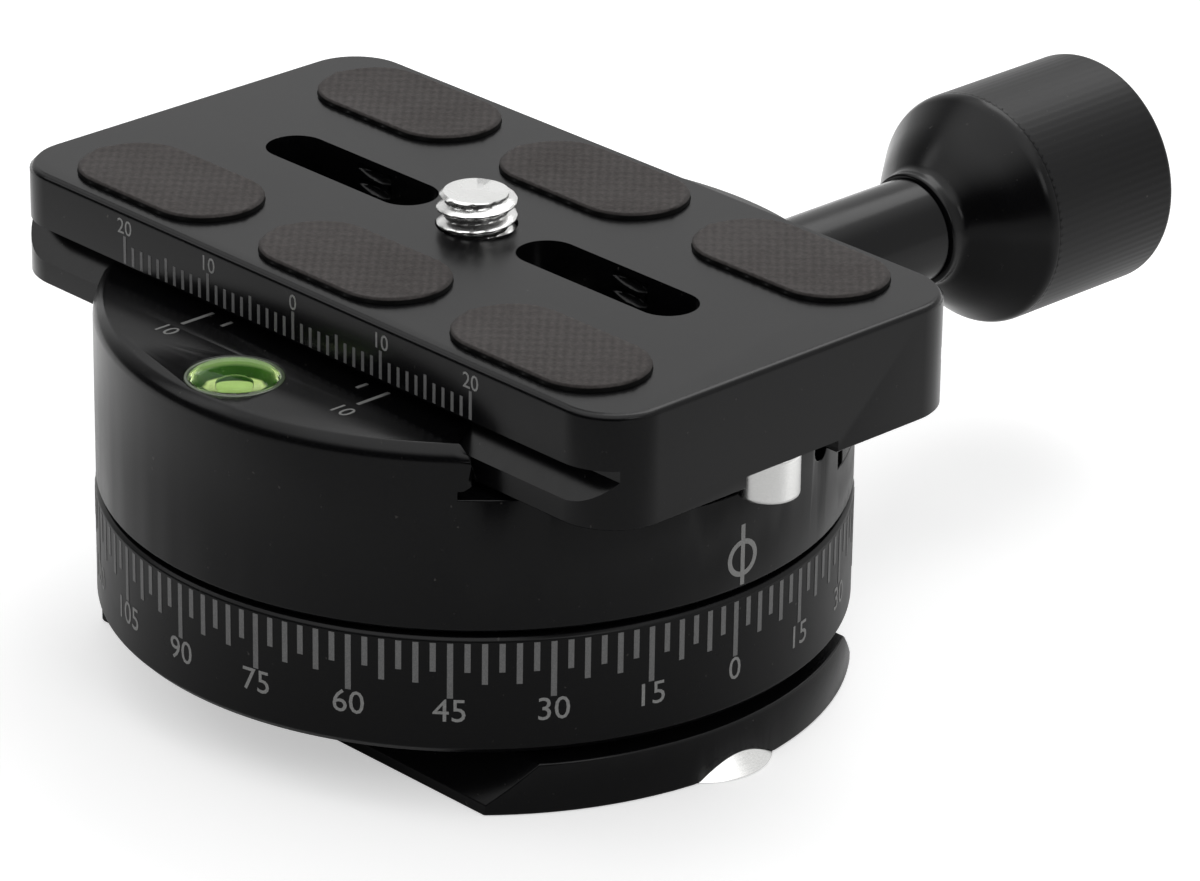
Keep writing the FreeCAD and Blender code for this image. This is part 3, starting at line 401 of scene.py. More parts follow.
def make_rings():
    """Lathe rings: noise that changes with the distance from the axis and along it only."""
    tree, given, out = effect("lathe_rings", {"Spacing mm": 0.1}, ["Mask"])
    parts = add(tree, "ShaderNodeSeparateXYZ", {0: given["Place"]}).outputs
    flat = add(tree, "ShaderNodeCombineXYZ", {"X": parts["X"], "Y": parts["Y"]}).outputs[0]
    reach = add(tree, "ShaderNodeVectorMath", {0: flat}, operation="LENGTH").outputs["Value"]
    along = add(tree, "ShaderNodeCombineXYZ", {"X": reach, "Z": parts["Z"]}).outputs[0]
    scale = calculate(tree, "DIVIDE", 1 / MM, given["Spacing mm"])
    feed(tree, out["Mask"], noise(tree, along, scale, 2.0, 0.7))
    return tree


def make_handling():
    """Dull patches from hands with a few dust specks: broad noise, plus sparse small spots."""
    tree, given, out = effect("handling", {}, ["Dull", "Dust"])
    broad = noise(tree, given["Place"], 90.0, 4.0, 0.65)
    fine = noise(tree, given["Place"], 2200.0, 1.0)
    feed(tree, out["Dull"], ramp(tree, broad, 0.38, 0.68))
    feed(tree, out["Dust"], ramp(tree, fine, 0.76, 0.86))
    return tree


GRAIN, RINGS, HANDLING = make_grain(), make_rings(), make_handling()
print("effects:", [tree.name for tree in (GRAIN, RINGS, HANDLING)])

# %% [markdown]
# ## Finishes
# One builder makes them all. The colour moves between two close tones with the grain, the
# roughness moves between two values with the dull patches, and the grain or the lathe rings
# give the bump. A Mapping node puts a turned part's own axis on Z, so that the rings run
# round it.

# %% One builder for all finishes
DUST = (0.45, 0.43, 0.40, 1)
DUST_SHARE = 0.10


def material(name, plain):
    """A material whose shader has these plain numbers on its own sockets."""
    made = bpy.data.materials.new(name)
    made.use_nodes = True
    skin = made.node_tree.nodes["Principled BSDF"]
    for label, value in plain.items():
        skin.inputs[label].default_value = value
    return made, made.node_tree, skin


def colour_ramp(tree, value, stops):
    """Colours at places from 0 to 1, in order, and mixed between them."""
    node = add(tree, "ShaderNodeValToRGB", {"Fac": value})
    points = node.color_ramp.elements
    for point, (place, colour) in zip((points[0], points[1]), (stops[0], stops[-1])):
        point.position = place
        point.color = (*colour, 1)
    for place, colour in stops[1:-1]:
        points.new(place).color = (*colour, 1)
    return node.outputs["Color"]


def finish(name, tones, rough, metallic=0.0, specular=0.5, grain=0.2, bump=0.35, rings=None,
           axis=(0, 0, 0), tilt=(0, 0, 0), depth=0.01):
    """tones are two colours, rough two roughnesses, grain and rings sizes in mm, depth the height
    of the bump in mm. axis is a point on a turned part's axis in mm, and tilt turns that axis
    to Z."""
    made, tree, skin = material(name, {"Metallic": metallic, "Specular IOR Level": specular})
    made.diffuse_color = (*tones[1], 1)
    place = add(tree, "ShaderNodeTexCoord").outputs["Object"]
    centred = add(tree, "ShaderNodeMapping",
                  {"Vector": place, "Location": Vector(axis) * MM, "Rotation": tilt},
                  vector_type="TEXTURE").outputs[0]
    hands = add(tree, "ShaderNodeGroup", {"Place": centred}, node_tree=HANDLING).outputs
    pattern = add(tree, "ShaderNodeGroup", {"Place": centred, "Grain mm": grain},
                  node_tree=GRAIN).outputs["Mask"]
    if rings:
        lathe = add(tree, "ShaderNodeGroup", {"Place": centred, "Spacing mm": rings},
                    node_tree=RINGS).outputs["Mask"]
        pattern = calculate(tree, "MULTIPLY", calculate(tree, "ADD", pattern, lathe), 0.5)
    tone = colour_ramp(tree, pattern, [(0.35, tones[0]), (0.68, tones[1])])
    speck = calculate(tree, "MULTIPLY", hands["Dust"], DUST_SHARE)
    relief = add(tree, "ShaderNodeBump",
                 {"Strength": bump, "Distance": depth * MM, "Height": pattern})
    feed(tree, skin.inputs["Base Color"], choose(tree, speck, tone, DUST, colour=True))
    feed(tree, skin.inputs["Roughness"], ramp(tree, hands["Dull"], 0.0, 1.0, *rough))
    feed(tree, skin.inputs["Normal"], relief.outputs["Normal"])
    return made


def coordinate(tree, letter):
    """The X, Y or Z of the point itself, in metres."""
    place = add(tree, "ShaderNodeTexCoord").outputs["Object"]
    return add(tree, "ShaderNodeSeparateXYZ", {0: place}).outputs[letter]


def upstream(skin, label):
    """What a shader's socket is fed from, to be mixed with something more."""
    return skin.inputs[label].links[0].from_socket


# %% The black anodised parts
KNOB_AXIS = (0, 0, 22.0)
ON_KNOB_AXIS = {"axis": KNOB_AXIS, "tilt": (math.radians(-90), 0, 0)}
DEEP_BLACK = (0.0012, 0.0012, 0.0014)
POLISH_ENDS = 56.8
RIBS_TAKE_OVER = 57.6
BARREL_ROUGH = 0.40

milled_black = finish("milled_black_anodising", (DEEP_BLACK, (0.0036, 0.0036, 0.004)),
                      (0.20, 0.26), specular=0.155, grain=0.16, bump=0.22, depth=0.008)
turned_black = finish("turned_black_anodising", (DEEP_BLACK, (0.003, 0.003, 0.0034)),
                      (0.27, 0.34), specular=0.14, grain=0.16, bump=0.25, rings=0.09, depth=0.006)


def knob_finish():
    """Polished on the sleeve and the bell, and duller from the rim on, where the ribs are cut."""
    made = finish("knob_black_anodising", (DEEP_BLACK, (0.003, 0.003, 0.0034)), (0.18, 0.25),
                  specular=0.16, grain=0.14, bump=0.20, rings=0.09, depth=0.005, **ON_KNOB_AXIS)
    tree = made.node_tree
    skin = tree.nodes["Principled BSDF"]
    barrel = ramp(tree, coordinate(tree, "Y"), POLISH_ENDS * MM, RIBS_TAKE_OVER * MM)
    feed(tree, skin.inputs["Roughness"],
         choose(tree, barrel, upstream(skin, "Roughness"), BARREL_ROUGH))
    return made


knob_black = knob_finish()
print("black finishes:", milled_black.name, turned_black.name, knob_black.name)

# %% Metals and plastics
STEEL = {"tones": ((0.44, 0.44, 0.45), (0.60, 0.60, 0.60)), "rough": (0.28, 0.42), "metallic": 1.0,
         "grain": 0.12, "bump": 0.2, "rings": 0.08, "depth": 0.006}
PAINT = {"rough": (0.5, 0.65), "specular": 0.3, "grain": 0.12, "bump": 0.4}
PLASTIC = {"grain": 0.3, "bump": 0.15}

plain_steel = finish("turned_steel", **STEEL)
long_steel = finish("drawn_steel", **STEEL, **ON_KNOB_AXIS)
bright_steel = finish("bright_stainless_steel", ((0.60, 0.60, 0.59), (0.74, 0.74, 0.73)),
                      (0.20, 0.30), metallic=1.0, grain=0.12, bump=0.12, rings=0.06, depth=0.004)
oxide_steel = finish("black_oxide_steel", ((0.035, 0.034, 0.036), (0.07, 0.068, 0.07)),
                     (0.32, 0.48), metallic=1.0, grain=0.14, bump=0.25, depth=0.006)
bronze = finish("oiled_bearing_bronze", ((0.40, 0.25, 0.12), (0.58, 0.38, 0.19)), (0.30, 0.45),
                metallic=1.0, grain=0.18, rings=0.12)
brass = finish("turned_brass", ((0.62, 0.46, 0.20), (0.76, 0.58, 0.28)), (0.22, 0.36),
               metallic=1.0, grain=0.12, bump=0.2, rings=0.09, depth=0.006, **ON_KNOB_AXIS)
white_acetal = finish("white_acetal", ((0.72, 0.72, 0.69), (0.80, 0.80, 0.77)), (0.40, 0.55),
                      **PLASTIC)
natural_nylon = finish("natural_nylon", ((0.66, 0.65, 0.58), (0.76, 0.75, 0.68)), (0.38, 0.5),
                       **PLASTIC)
scale_paint = finish("scale_paint", ((0.10, 0.10, 0.10), (0.14, 0.14, 0.14)), **PAINT)
label_paint = finish("label_paint", ((0.17, 0.17, 0.167), (0.23, 0.23, 0.227)), **PAINT)
print("materials so far:", len(bpy.data.materials))

# %% [markdown]
# ## Floor
# A plain pale sweep, wide enough to fill every view. It is a disc worked out from rings of
# points. Its shader adds a glow for the camera, so that it reads as white while the soft shadow
# under the foot stays. Metal and glass see a glow too, but not close round the head, nor in
# front of it under the tent's opening.

# %% Floor
FLOOR_RINGS = np.array([0.0, 100.0, 400.0, 1200.0, 3000.0])
GLOW_FOR_CAMERA = 0.45
GLOW_IN_MIRRORS = 0.50
TO_FRONT = (0.72, -0.694, 0.0)

floor_points, floor_faces = surface(carried_round(FLOOR_RINGS, 0 * FLOOR_RINGS, turns=64))
floor_mesh = bpy.data.meshes.new("studio_floor")
floor_mesh.from_pydata((floor_points * MM).tolist(), [], floor_faces)
floor = bpy.data.objects.new("studio_floor", floor_mesh)
scene.collection.objects.link(floor)
floor_paint, sweep, skin = material("white_floor", {
    "Roughness": 0.9, "Specular IOR Level": 0.0, "Base Color": (0.90, 0.90, 0.90, 1),
    "Emission Color": (1, 1, 1, 1)})
kinds = add(sweep, "ShaderNodeLightPath").outputs
on_floor = add(sweep, "ShaderNodeTexCoord").outputs["Object"]
forward = add(sweep, "ShaderNodeVectorMath", {0: on_floor, 1: TO_FRONT},
              operation="DOT_PRODUCT").outputs["Value"]
distance = add(sweep, "ShaderNodeVectorMath", {0: on_floor}, operation="LENGTH").outputs["Value"]
outwards = ramp(sweep, distance, 55 * MM, 90 * MM, 0.0, GLOW_IN_MIRRORS, smooth=True)
to_front = ramp(sweep, forward, 30 * MM, 80 * MM, 1.0, 0.0, smooth=True)
beside = calculate(sweep, "MULTIPLY", outwards, to_front)
glossy = choose(sweep, kinds["Is Glossy Ray"], 0.0, beside)
through = choose(sweep, kinds["Is Transmission Ray"], glossy, beside)
feed(sweep, skin.inputs["Emission Strength"],
     choose(sweep, kinds["Is Camera Ray"], through, GLOW_FOR_CAMERA))
floor_mesh.materials.append(floor_paint)
print("floor:", len(floor_faces), "faces")

# %% [markdown]
# ## Screws and threads
# A thread is one surface: its radius is a tooth shape of the height less the angle, so the
# crest climbs by one pitch in each turn. A socket screw is a turned shape whose hexagon rows
# take the radius of a hexagon, which is its half width divided by the cosine of the angle
# from the middle of the nearest side.

# %% Thread tooth and hexagon


def tooth(turns):
    """Height of a metal thread's tooth, 0 at the root and 1 at the crest, for a position counted
    in turns. The crest takes an eighth of the pitch, the root a quarter."""
    off_crest = np.abs(np.mod(turns, 1.0) - 0.5) * 2
    return np.clip((0.75 - (1 - off_crest)) / 0.625, 0, 1)


def screw_thread(crest, depth, pitch, low, high, lead=0.5, turns=72, along="z",
                 centre=(0, 0, 0), inward=False):
    """A threaded rod, or with inward the thread of a nut. The radius is crest - depth (1 - tooth)
    of height/pitch - angle/turn, cut by a cone of length lead at both ends. An outer thread is
    closed by flat ends."""
    count = int((high - low) / pitch * 16)
    height = np.linspace(low, high, count)[:, None]
    angle = np.linspace(0, 1, turns, endpoint=False)[None, :]
    cut = depth * (1 - tooth(height / pitch - angle))
    from_end = np.minimum(height - low, high - height)
    cone = np.maximum(lead - from_end, 0)
    if inward:
        return crest - depth + np.maximum(cut, cone), height
    radius = crest - np.maximum(cut, cone)
    radius = np.concatenate([0 * radius[:1], radius, 0 * radius[:1]])
    rows = np.concatenate([height[:1], height, height[-1:]])[:, 0]
    return surface(carried_round(radius, rows, along, centre, turns))


def socket_screw(centre, head, head_height, shank, length, socket, socket_depth, under=None,
                 turns=48, ease=0.25):
    """A screw standing on its head: the hexagon socket opens at centre, the head goes up from
    there by head_height and the shank to length. A countersunk head is only as wide as under
    at its far side."""
    angle = np.linspace(0, 2 * np.pi, turns, endpoint=False)
    hexagon = socket / 2 / np.cos(np.mod(angle, math.pi / 3) - math.pi / 6)
    outside = eased([(socket * 0.6, 0), (head, 0), (under or head, head_height),
                     (shank, head_height), (shank, length), (0, length)], ease)
    rows = [0 * hexagon, hexagon, hexagon, hexagon + 0.12]
    heights = [socket_depth, socket_depth, 0.12, 0.0]
    radius = np.concatenate([np.array(rows), outside[1:, :1] + 0 * hexagon])
    height = np.concatenate([np.array(heights), outside[1:, 1]])
    return surface(carried_round(radius, height, "z", centre, turns))


def screw_set(places, **sizes):
    """Equal screws at several places, as one surface."""
    return together(*[socket_screw(place, **sizes) for place in places])


def both_sides(x, y, z):
    """The place and its mirror image across x = 0."""
    return [(-x, y, z), (x, y, z)]


def evenly_round(radius, count, first, z):
    """Places on a circle: r cos a, r sin a for count equal steps, from a first angle in degrees."""
    angles = np.radians(first + np.arange(count) * (360 // count))
    return [(radius * math.cos(a), radius * math.sin(a), z) for a in angles]


# %% [markdown]
# ## Marks
# The scales are engraved and filled with pale paint. Each mark here is a thin raised bar or
# figure, made flat first, with x to the right and y up, and then laid on the part: round the
# turned ring, on the plate's front face, or on the clamp's top.

# %% Flat marks
PAINT_STAND = 0.03
PAINT_ROOT = -0.15
FIGURE_SHARE = 0.72


def bars(left, right, low, high):
    """Raised bars from four arrays of edges: eight corners and six faces for each bar."""
    left, right, low, high = np.broadcast_arrays(left, right, low, high)
    x = np.stack([left, right, right, left] * 2, -1)
    y = np.stack([low, low, high, high] * 2, -1)
    z = np.repeat([PAINT_ROOT, PAINT_STAND], 4) + 0 * x
    sides = np.array([[0, 3, 2, 1], [4, 5, 6, 7], [0, 1, 5, 4], [1, 2, 6, 5], [2, 3, 7, 6],
                      [3, 0, 4, 7]])
    faces = sides[None] + 8 * np.arange(len(left))[:, None, None]
    return np.stack([x, y, z], -1).reshape(-1, 3), faces.reshape(-1, 4).tolist()


def ring_mark(outer, inner, x, y, turns=40):
    """A raised ring: a rectangle, inner to outer and root to stand, carried round a circle."""
    angle = np.linspace(0, 2 * np.pi, turns, endpoint=False)
    radius = np.array([inner, outer, outer, inner])[:, None]
    depth = np.array([PAINT_ROOT, PAINT_ROOT, PAINT_STAND, PAINT_STAND])[:, None] + 0 * angle
    points = np.stack([x + radius * np.cos(angle), y + radius * np.sin(angle), depth], -1)
    return surface(points, wrap_rows=True)


def figure(text, height, x=0.0, y=0.0):
    """A number as a thin raised mesh, from Blender's own font, centred at x, y. A figure is as
    high as FIGURE_SHARE of the font's size."""
    words = bpy.data.curves.new("figure", "FONT")
    words.body = text
    words.size = height / FIGURE_SHARE
    words.align_x = "CENTER"
    words.align_y = "CENTER"
    words.extrude = (PAINT_STAND - PAINT_ROOT) / 2
    words.resolution_u = 3
    holder = bpy.data.objects.new("figure", words)
    scene.collection.objects.link(holder)
    mesh = bpy.data.meshes.new_from_object(holder.evaluated_get(
        bpy.context.evaluated_depsgraph_get()))
    points = np.empty(len(mesh.vertices) * 3)
    mesh.vertices.foreach_get("co", points)
    faces = [list(face.vertices) for face in mesh.polygons]
    bpy.data.objects.remove(holder)
    bpy.data.meshes.remove(mesh)
    bpy.data.curves.remove(words)
    return points.reshape(-1, 3) + [x, y, (PAINT_STAND + PAINT_ROOT) / 2], faces


# %% Laying the marks on


def on_cylinder(shape, radius, bearing, height):
    """x runs round the cylinder from a bearing in degrees, y up it and z outwards."""
    points, faces = shape
    angle = math.radians(bearing) + points[:, 0] / radius
    reach = radius + points[:, 2]
    laid = [reach * np.cos(angle), reach * np.sin(angle), height + points[:, 1]]
    return np.stack(laid, -1), faces


def on_flat(shape, corner, right, up, out):
    """x runs along right, y along up and z along out, from a corner in mm."""
    points, faces = shape
    return np.asarray(corner) + points @ np.array([right, up, out], float), faces


# %% [markdown]
# ## Dovetail foot
# The foot clamps into another dovetail. It is milled from a disc: two flats with 45 degree
# flanks, a thin lip at the bottom, and recesses for two stop screws. The softened CAD copy has
# all of that.

# %% Foot
softened("dovetail_foot", "foot_plate", milled_black, "base", 0.10)

STOP_SCREW_REACH = 25.8
stop_screws = screw_set(both_sides(STOP_SCREW_REACH, 0, 0.05), head=5.75, head_height=1.8,
                        shank=2.0, length=3.95, socket=3.0, socket_depth=1.0, under=3.95,
                        turns=72, ease=0.1)
piece("foot_stops", stop_screws, bright_steel, "base", ["foot_stop_screws"])

# %% [markdown]
# The foot is held to the scale ring by four socket screws, and a flanged steel bush in the
# middle takes the tripod's own thread, three eighths of an inch with 16 turns to the inch.

# %% Foot screws and tripod bush
BASE_SCREW_CIRCLE = 13.4
base_screws = screw_set(evenly_round(BASE_SCREW_CIRCLE, 4, 45, 0.5), head=2.75, head_height=2.6,
                        shank=1.5, length=8.2, socket=2.5, socket_depth=1.3)
piece("foot_screws", base_screws, oxide_steel, "base", ["base_screws"])

TRIPOD_RADIUS = 25.4 * 3 / 16
TRIPOD_PITCH = 25.4 / 16
BUSH_RADIUS = 6.0
BUSH_TOP = 9.8
FLANGE_RADIUS = 8.3
FLANGE_TOP = 1.2
inner_radius, inner_height = screw_thread(TRIPOD_RADIUS, 0.86, TRIPOD_PITCH, 0.0, BUSH_TOP,
                                          lead=0.8, inward=True)
bush_outside = eased([(FLANGE_RADIUS, 0), (FLANGE_RADIUS, FLANGE_TOP), (BUSH_RADIUS, FLANGE_TOP),
                      (BUSH_RADIUS, BUSH_TOP)], 0.2, closed=True)[2:-2]
bush_radius = np.concatenate([bush_outside[:, :1] + 0 * inner_radius[:1], inner_radius[::-1]])
bush_height = np.concatenate([bush_outside[:, 1], inner_height[::-1, 0]])
bush_points = carried_round(bush_radius, bush_height, turns=bush_radius.shape[1])
piece("tripod_bush", surface(bush_points, wrap_rows=True), bright_steel, "base",
      ["tripod_thread_bush"])

# %% [markdown]
# ## Scale ring
# The ring is turned, and its outside carries a degree scale with a line every 2.5 degrees and
# a number every 15. Zero is just off the index when the head is at rest. Counting goes up both
# ways round to 180.

# %% Ring body
DIAL_RADIUS = 30.07
DIAL_BOTTOM = 5.1
SEAM = 15.0
TRACK_INNER = 22.0
TRACK_OUTER = 27.0
TRACK_FLOOR = 14.5
BORE = 10.9
BUSH_SEAT = 11.46
SEAT_FLOOR = 9.2
ring_wall = [(BORE, DIAL_BOTTOM), (DIAL_RADIUS - 0.6, DIAL_BOTTOM),
             (DIAL_RADIUS, DIAL_BOTTOM + 0.6), (DIAL_RADIUS, SEAM - 0.3),
             (DIAL_RADIUS - 0.3, SEAM), (TRACK_OUTER, SEAM), (TRACK_OUTER, TRACK_FLOOR),
             (TRACK_INNER, TRACK_FLOOR), (TRACK_INNER, SEAM), (BUSH_SEAT, SEAM),
             (BUSH_SEAT, SEAT_FLOOR), (BORE, SEAT_FLOOR)]
piece("scale_ring", turned(ring_wall, 0.12, closed=True, turns=240), turned_black, "base",
      ["dial_ring"])

# %% Degree lines and numbers
ZERO_BEARING = -1.15
LINE_TOP = SEAM - 0.45
LINE_WIDTH = 0.46
LONG, MIDDLE, SHORT = 4.6, 3.4, 2.4

steps = np.arange(144)
line_length = np.where(steps % 6 == 0, LONG, np.where(steps % 2 == 0, MIDDLE, SHORT))
round_position = np.radians(2.5 * steps) * DIAL_RADIUS
degree_lines = bars(round_position - LINE_WIDTH / 2, round_position + LINE_WIDTH / 2,
                    -line_length, 0.0)
piece("degree_lines", on_cylinder(degree_lines, DIAL_RADIUS, ZERO_BEARING, LINE_TOP), scale_paint,
      "base")

NUMBER_HEIGHT = 1.95
NUMBER_MIDDLE = 8.8
numbers = [on_cylinder(figure(str(min(15 * k, 360 - 15 * k)), NUMBER_HEIGHT), DIAL_RADIUS,
                       ZERO_BEARING - 15 * k, NUMBER_MIDDLE) for k in range(24)]
piece("degree_numbers", together(*numbers), label_paint, "base")

# %% [markdown]
# ## Turning body
# The round clamp sits on the ring with a hair of daylight between them. Its front side stands
# up as the fixed jaw, with a broad chamfer round the top. A circle with a line through it is
# the index for the degree scale, and short lines beside the level show where the plate's scale
# reads ten.

# %% Body and index
BODY_RADIUS = 30.0
RIM_FOOT = 29.7
RIM_EASE = 0.5
INDEX_HEIGHT = 18.05


def round_rim_foot(shell):
    """Rounds the lower edge of the chamfer round the jaws more than the other edges: all edges
    on the outer circle at that height."""
    def on_circle(corner):
        reach = math.hypot(corner.co.x, corner.co.y) / MM
        return abs(reach - BODY_RADIUS) < 0.02 and abs(corner.co.z / MM - RIM_FOOT) < 0.02
    rim = [edge for edge in shell.edges if all(on_circle(corner) for corner in edge.verts)]
    bmesh.ops.bevel(shell, geom=rim, offset=RIM_EASE * MM, offset_type="OFFSET", segments=5,
                    profile=0.5, affect="EDGES")
    print("rim edges rounded:", len(rim))


softened("clamp_body", "turning_clamp", milled_black, "rotor", 0.12,
         shape=round_rim_foot)
index_mark = together(ring_mark(1.55, 1.13, 0, INDEX_HEIGHT),
                      bars(*np.array([[-0.21], [0.21], [15.8], [20.85]])))
piece("index_mark", on_cylinder(index_mark, BODY_RADIUS, 0.0, 0.0), label_paint, "rotor")

# %% Jaw marks
JAW_TOP = 30.6
tens = np.array([-10.2, 10.2])
jaw_lines = together(bars(tens - 0.17, tens + 0.17, -21.5, -18.3),
                     bars(tens * 0.77 - 0.16, tens * 0.77 + 0.16, -19.5, -18.4),
                     *[figure("10", 1.5, x, -23.1) for x in tens])
piece("jaw_marks", on_flat(jaw_lines, (0, 0, JAW_TOP), (1, 0, 0), (0, 1, 0), (0, 0, 1)),
      label_paint, "rotor")

# %% [markdown]
# ## Pan bearing
# Inside, a hollow steel spindle turns in a bronze bush. A ring nut with a wave spring takes up
# the play, and an acetal ring gives the drag. None of it shows when the head is together, so
# the CAD shapes stay, each in its own metal or plastic. Only the six screws that hold the
# spindle are made again, with their sockets.

# %% Finishes for the hidden CAD nodes
HIDDEN = {
    "bearing_bush": bronze, "friction_ring": white_acetal, "pan_spindle": plain_steel,
    "ring_nut": plain_steel, "wave_spring": plain_steel, "lower_thrust_washer": white_acetal,
    "clamp_nut_bush": brass, "guide_pins": long_steel, "guide_bushes": bronze,
    "thrust_washer": natural_nylon, "screw_keeper_clip": oxide_steel,
    "screw_keeper_ring": plain_steel,
}
for node, metal in HIDDEN.items():
    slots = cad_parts[node].data.materials
    for place in range(len(slots)):
        slots[place] = metal
print("CAD nodes with a new finish:", len(HIDDEN))

# %% Spindle screws
SPINDLE_SCREW_CIRCLE = 11.1
spindle_set = screw_set(evenly_round(SPINDLE_SCREW_CIRCLE, 6, 0, 14.4), head=1.7,
                        head_height=0.9, shank=1.0, length=3.9, socket=1.3, socket_depth=0.5,
                        ease=0.12)
piece("spindle_screw_set", spindle_set, oxide_steel, "rotor",
      ["spindle_screws"])

# %% [markdown]
# ## Guides and return springs
# Two steel pins guide the moving jaw, a grub screw locks each one, and a coil spring round each
# pin pushes the jaw open. A spring is a circle carried along a helix. Each spring is made on the
# clamp and then freed from it, with its place baked into its points.

# %% Springs
GUIDE_X = 15.0
GUIDE_Z = 23.5
SPRING_START = 11.43
SPRING_END = 17.37


def coil_spring(x, z, low, high, radius=2.5, wire=0.3, turns=5.5, dead=1.0):
    """A circle of the wire's radius carried along a helix round Y. The helix climbs slowly in the
    dead turns at its ends. Normal n points away from the axis and b = tangent x n, and a point is
    path + wire (cos t n + sin t b)."""
    t = np.linspace(0, turns, int(turns * 36) + 1)
    slow = 2 * wire * 1.05
    climb = (high - low - 2 * wire - 2 * dead * slow) / (turns - 2 * dead)
    y = low + wire + (slow * np.minimum(t, dead) + climb * np.clip(t - dead, 0, turns - 2 * dead)
                      + slow * np.clip(t - turns + dead, 0, dead))
    angle = 2 * np.pi * t
    away = np.stack([np.cos(angle), 0 * angle, np.sin(angle)], -1)
    path = radius * away + np.stack([0 * y + x, y, 0 * y + z], -1)
    tangent = np.gradient(path, axis=0)
    tangent /= np.linalg.norm(tangent, axis=1)[:, None]
    across = np.cross(tangent, away)
    round_wire = np.linspace(0, 2 * np.pi, 10, endpoint=False)[None, :, None]
    thick = np.where((t > 0) & (t < turns), wire, 0.0)[:, None, None]
    points = path[:, None] + thick * (np.cos(round_wire) * away[:, None]
                                      + np.sin(round_wire) * across[:, None])
    points[1], points[-2] = points[1] + path[0] - path[1], points[-2] + path[-1] - path[-2]
    return surface(points)


for side, node in ((-1, "return_spring_left"), (1, "return_spring_right")):
    coil = coil_spring(side * GUIDE_X, GUIDE_Z, SPRING_START, SPRING_END)
    spring = piece(node.replace("return", "jaw"), coil, plain_steel, "rotor", [node])
    spring.parent = None
    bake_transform(spring)

# %% Grub screws
GRUB_MOUTH = 23.0
GRUB_Y = 10.1


def laid_on_x(shape, centre, side):
    """Turns a shape that stands on Z to lie along X, and moves it to centre."""
    points, faces = shape
    return np.stack([side * points[:, 2], points[:, 0], points[:, 1]], -1) + centre, faces


grub = socket_screw((0, 0, 0), head=1.0, head_height=5.9, shank=0.8, length=6.0, socket=1.0,
                    socket_depth=1.2, ease=0.12)
grubs = [laid_on_x(grub, (side * GRUB_MOUTH, GRUB_Y, GUIDE_Z), -side) for side in (-1, 1)]
piece("pin_grub_screws", together(*grubs), oxide_steel, "rotor",
      ["guide_grub_screws"])

# %% [markdown]
# ## Moving jaw
# The jaw is the back of the round body, on the knob's side. It slides out by four millimetres.
# It is milled like the clamp, so it is a softened copy too.

# %% Jaw
softened("moving_jaw", "sliding_jaw", milled_black, "jaw", 0.12,
         shape=round_rim_foot)

# %% [markdown]
# ## Clamp screw, stem and knob
# The screw is a six millimetre thread. A turned sleeve covers it, and the knob screwed to its
# end has a bell-shaped back and a straight barrel with 90 fine ribs. The ribs are the radius
# itself: it falls by a rounded groove 90 times in a turn, and the grooves fade out before both
# ends of the barrel.

# %% Screw and stem
SCREW_RADIUS = 3.0
SHANK_RADIUS = 2.98
SHANK_START = 14.5
SHANK_END = 60.5
SLEEVE_RADIUS = 4.5
KNOB_START = 49.6
LAID_ON_AXIS = {"along": "y", "centre": KNOB_AXIS}

thread_part = screw_thread(SCREW_RADIUS, 0.55, 1.0, -2.0, 14.9, lead=0.6, turns=60,
                           **LAID_ON_AXIS)
plain_part = turned([(0, SHANK_START), (SHANK_RADIUS, SHANK_START), (SHANK_RADIUS, SHANK_END),
                     (0, SHANK_END)], 0.2, turns=60, **LAID_ON_AXIS)
piece("jaw_screw", together(thread_part, plain_part), long_steel, "knob",
      ["clamp_screw"])
sleeve = tube(SCREW_RADIUS, SLEEVE_RADIUS, 29.65, KNOB_START, 0.18, turns=120, **LAID_ON_AXIS)
piece("knob_sleeve", sleeve, knob_black, "knob", ["knob_stem"])

# %% Knob
RIBS = 90
RIB_DEPTH = 0.30
RIBS_FROM = 57.4
RIBS_TO = 70.8
KNOB_RADIUS = 10.0
KNOB_END = 72.0
RECESS_RADIUS = 7.4
RECESS_FLOOR = 69.0

rib_angle = np.linspace(0, 2 * np.pi, RIBS * 6, endpoint=False)
knob_corners = [(SCREW_RADIUS, KNOB_START), (4.9, KNOB_START), (4.9, 50.9), (7.2, 53.1),
                (KNOB_RADIUS, 56.6), (KNOB_RADIUS, 71.1), (9.1, KNOB_END),
                (RECESS_RADIUS, KNOB_END), (RECESS_RADIUS, RECESS_FLOOR),
                (SCREW_RADIUS, RECESS_FLOOR)]
knob_ease = [0.1, 0.35, 0.5, 1.7, 0.6, 0.25, 0.2, 0.12, 0.1, 0.1]
knob_wall = eased(knob_corners, knob_ease, closed=True, steps=8)
# The barrel is one straight line of the profile. Rows are added where the ribs begin and end.
barrel = np.concatenate([np.linspace(57.5, 58.4, 7), np.linspace(60, 69, 6),
                         np.linspace(70.0, 70.75, 6)])
start = int(np.argmax((knob_wall[:, 0] > 9.99) & (knob_wall[:, 1] > 57.0)))
knob_wall = np.insert(knob_wall, start + 1, np.stack([0 * barrel + KNOB_RADIUS, barrel], -1), 0)
wall_radius, wall_height = knob_wall.T
fade = (np.clip((wall_height - RIBS_FROM) / 0.8, 0, 1)
        * np.clip((RIBS_TO - wall_height) / 0.6, 0, 1) * (wall_radius > 9.9))
groove = 0.5 + 0.5 * np.cos(RIBS * rib_angle)
knob_radius = wall_radius[:, None] - RIB_DEPTH * fade[:, None] * groove
knob_points = carried_round(knob_radius, wall_height, turns=len(rib_angle), **LAID_ON_AXIS)
piece("ribbed_knob", surface(knob_points, wrap_rows=True), knob_black, "knob",
      ["knob_grip"])
cap_corners = [(0, RECESS_FLOOR), (RECESS_RADIUS, RECESS_FLOOR), (RECESS_RADIUS, 71.6),
               (5.6, 71.6), (5.3, 71.35), (0, 71.35)]
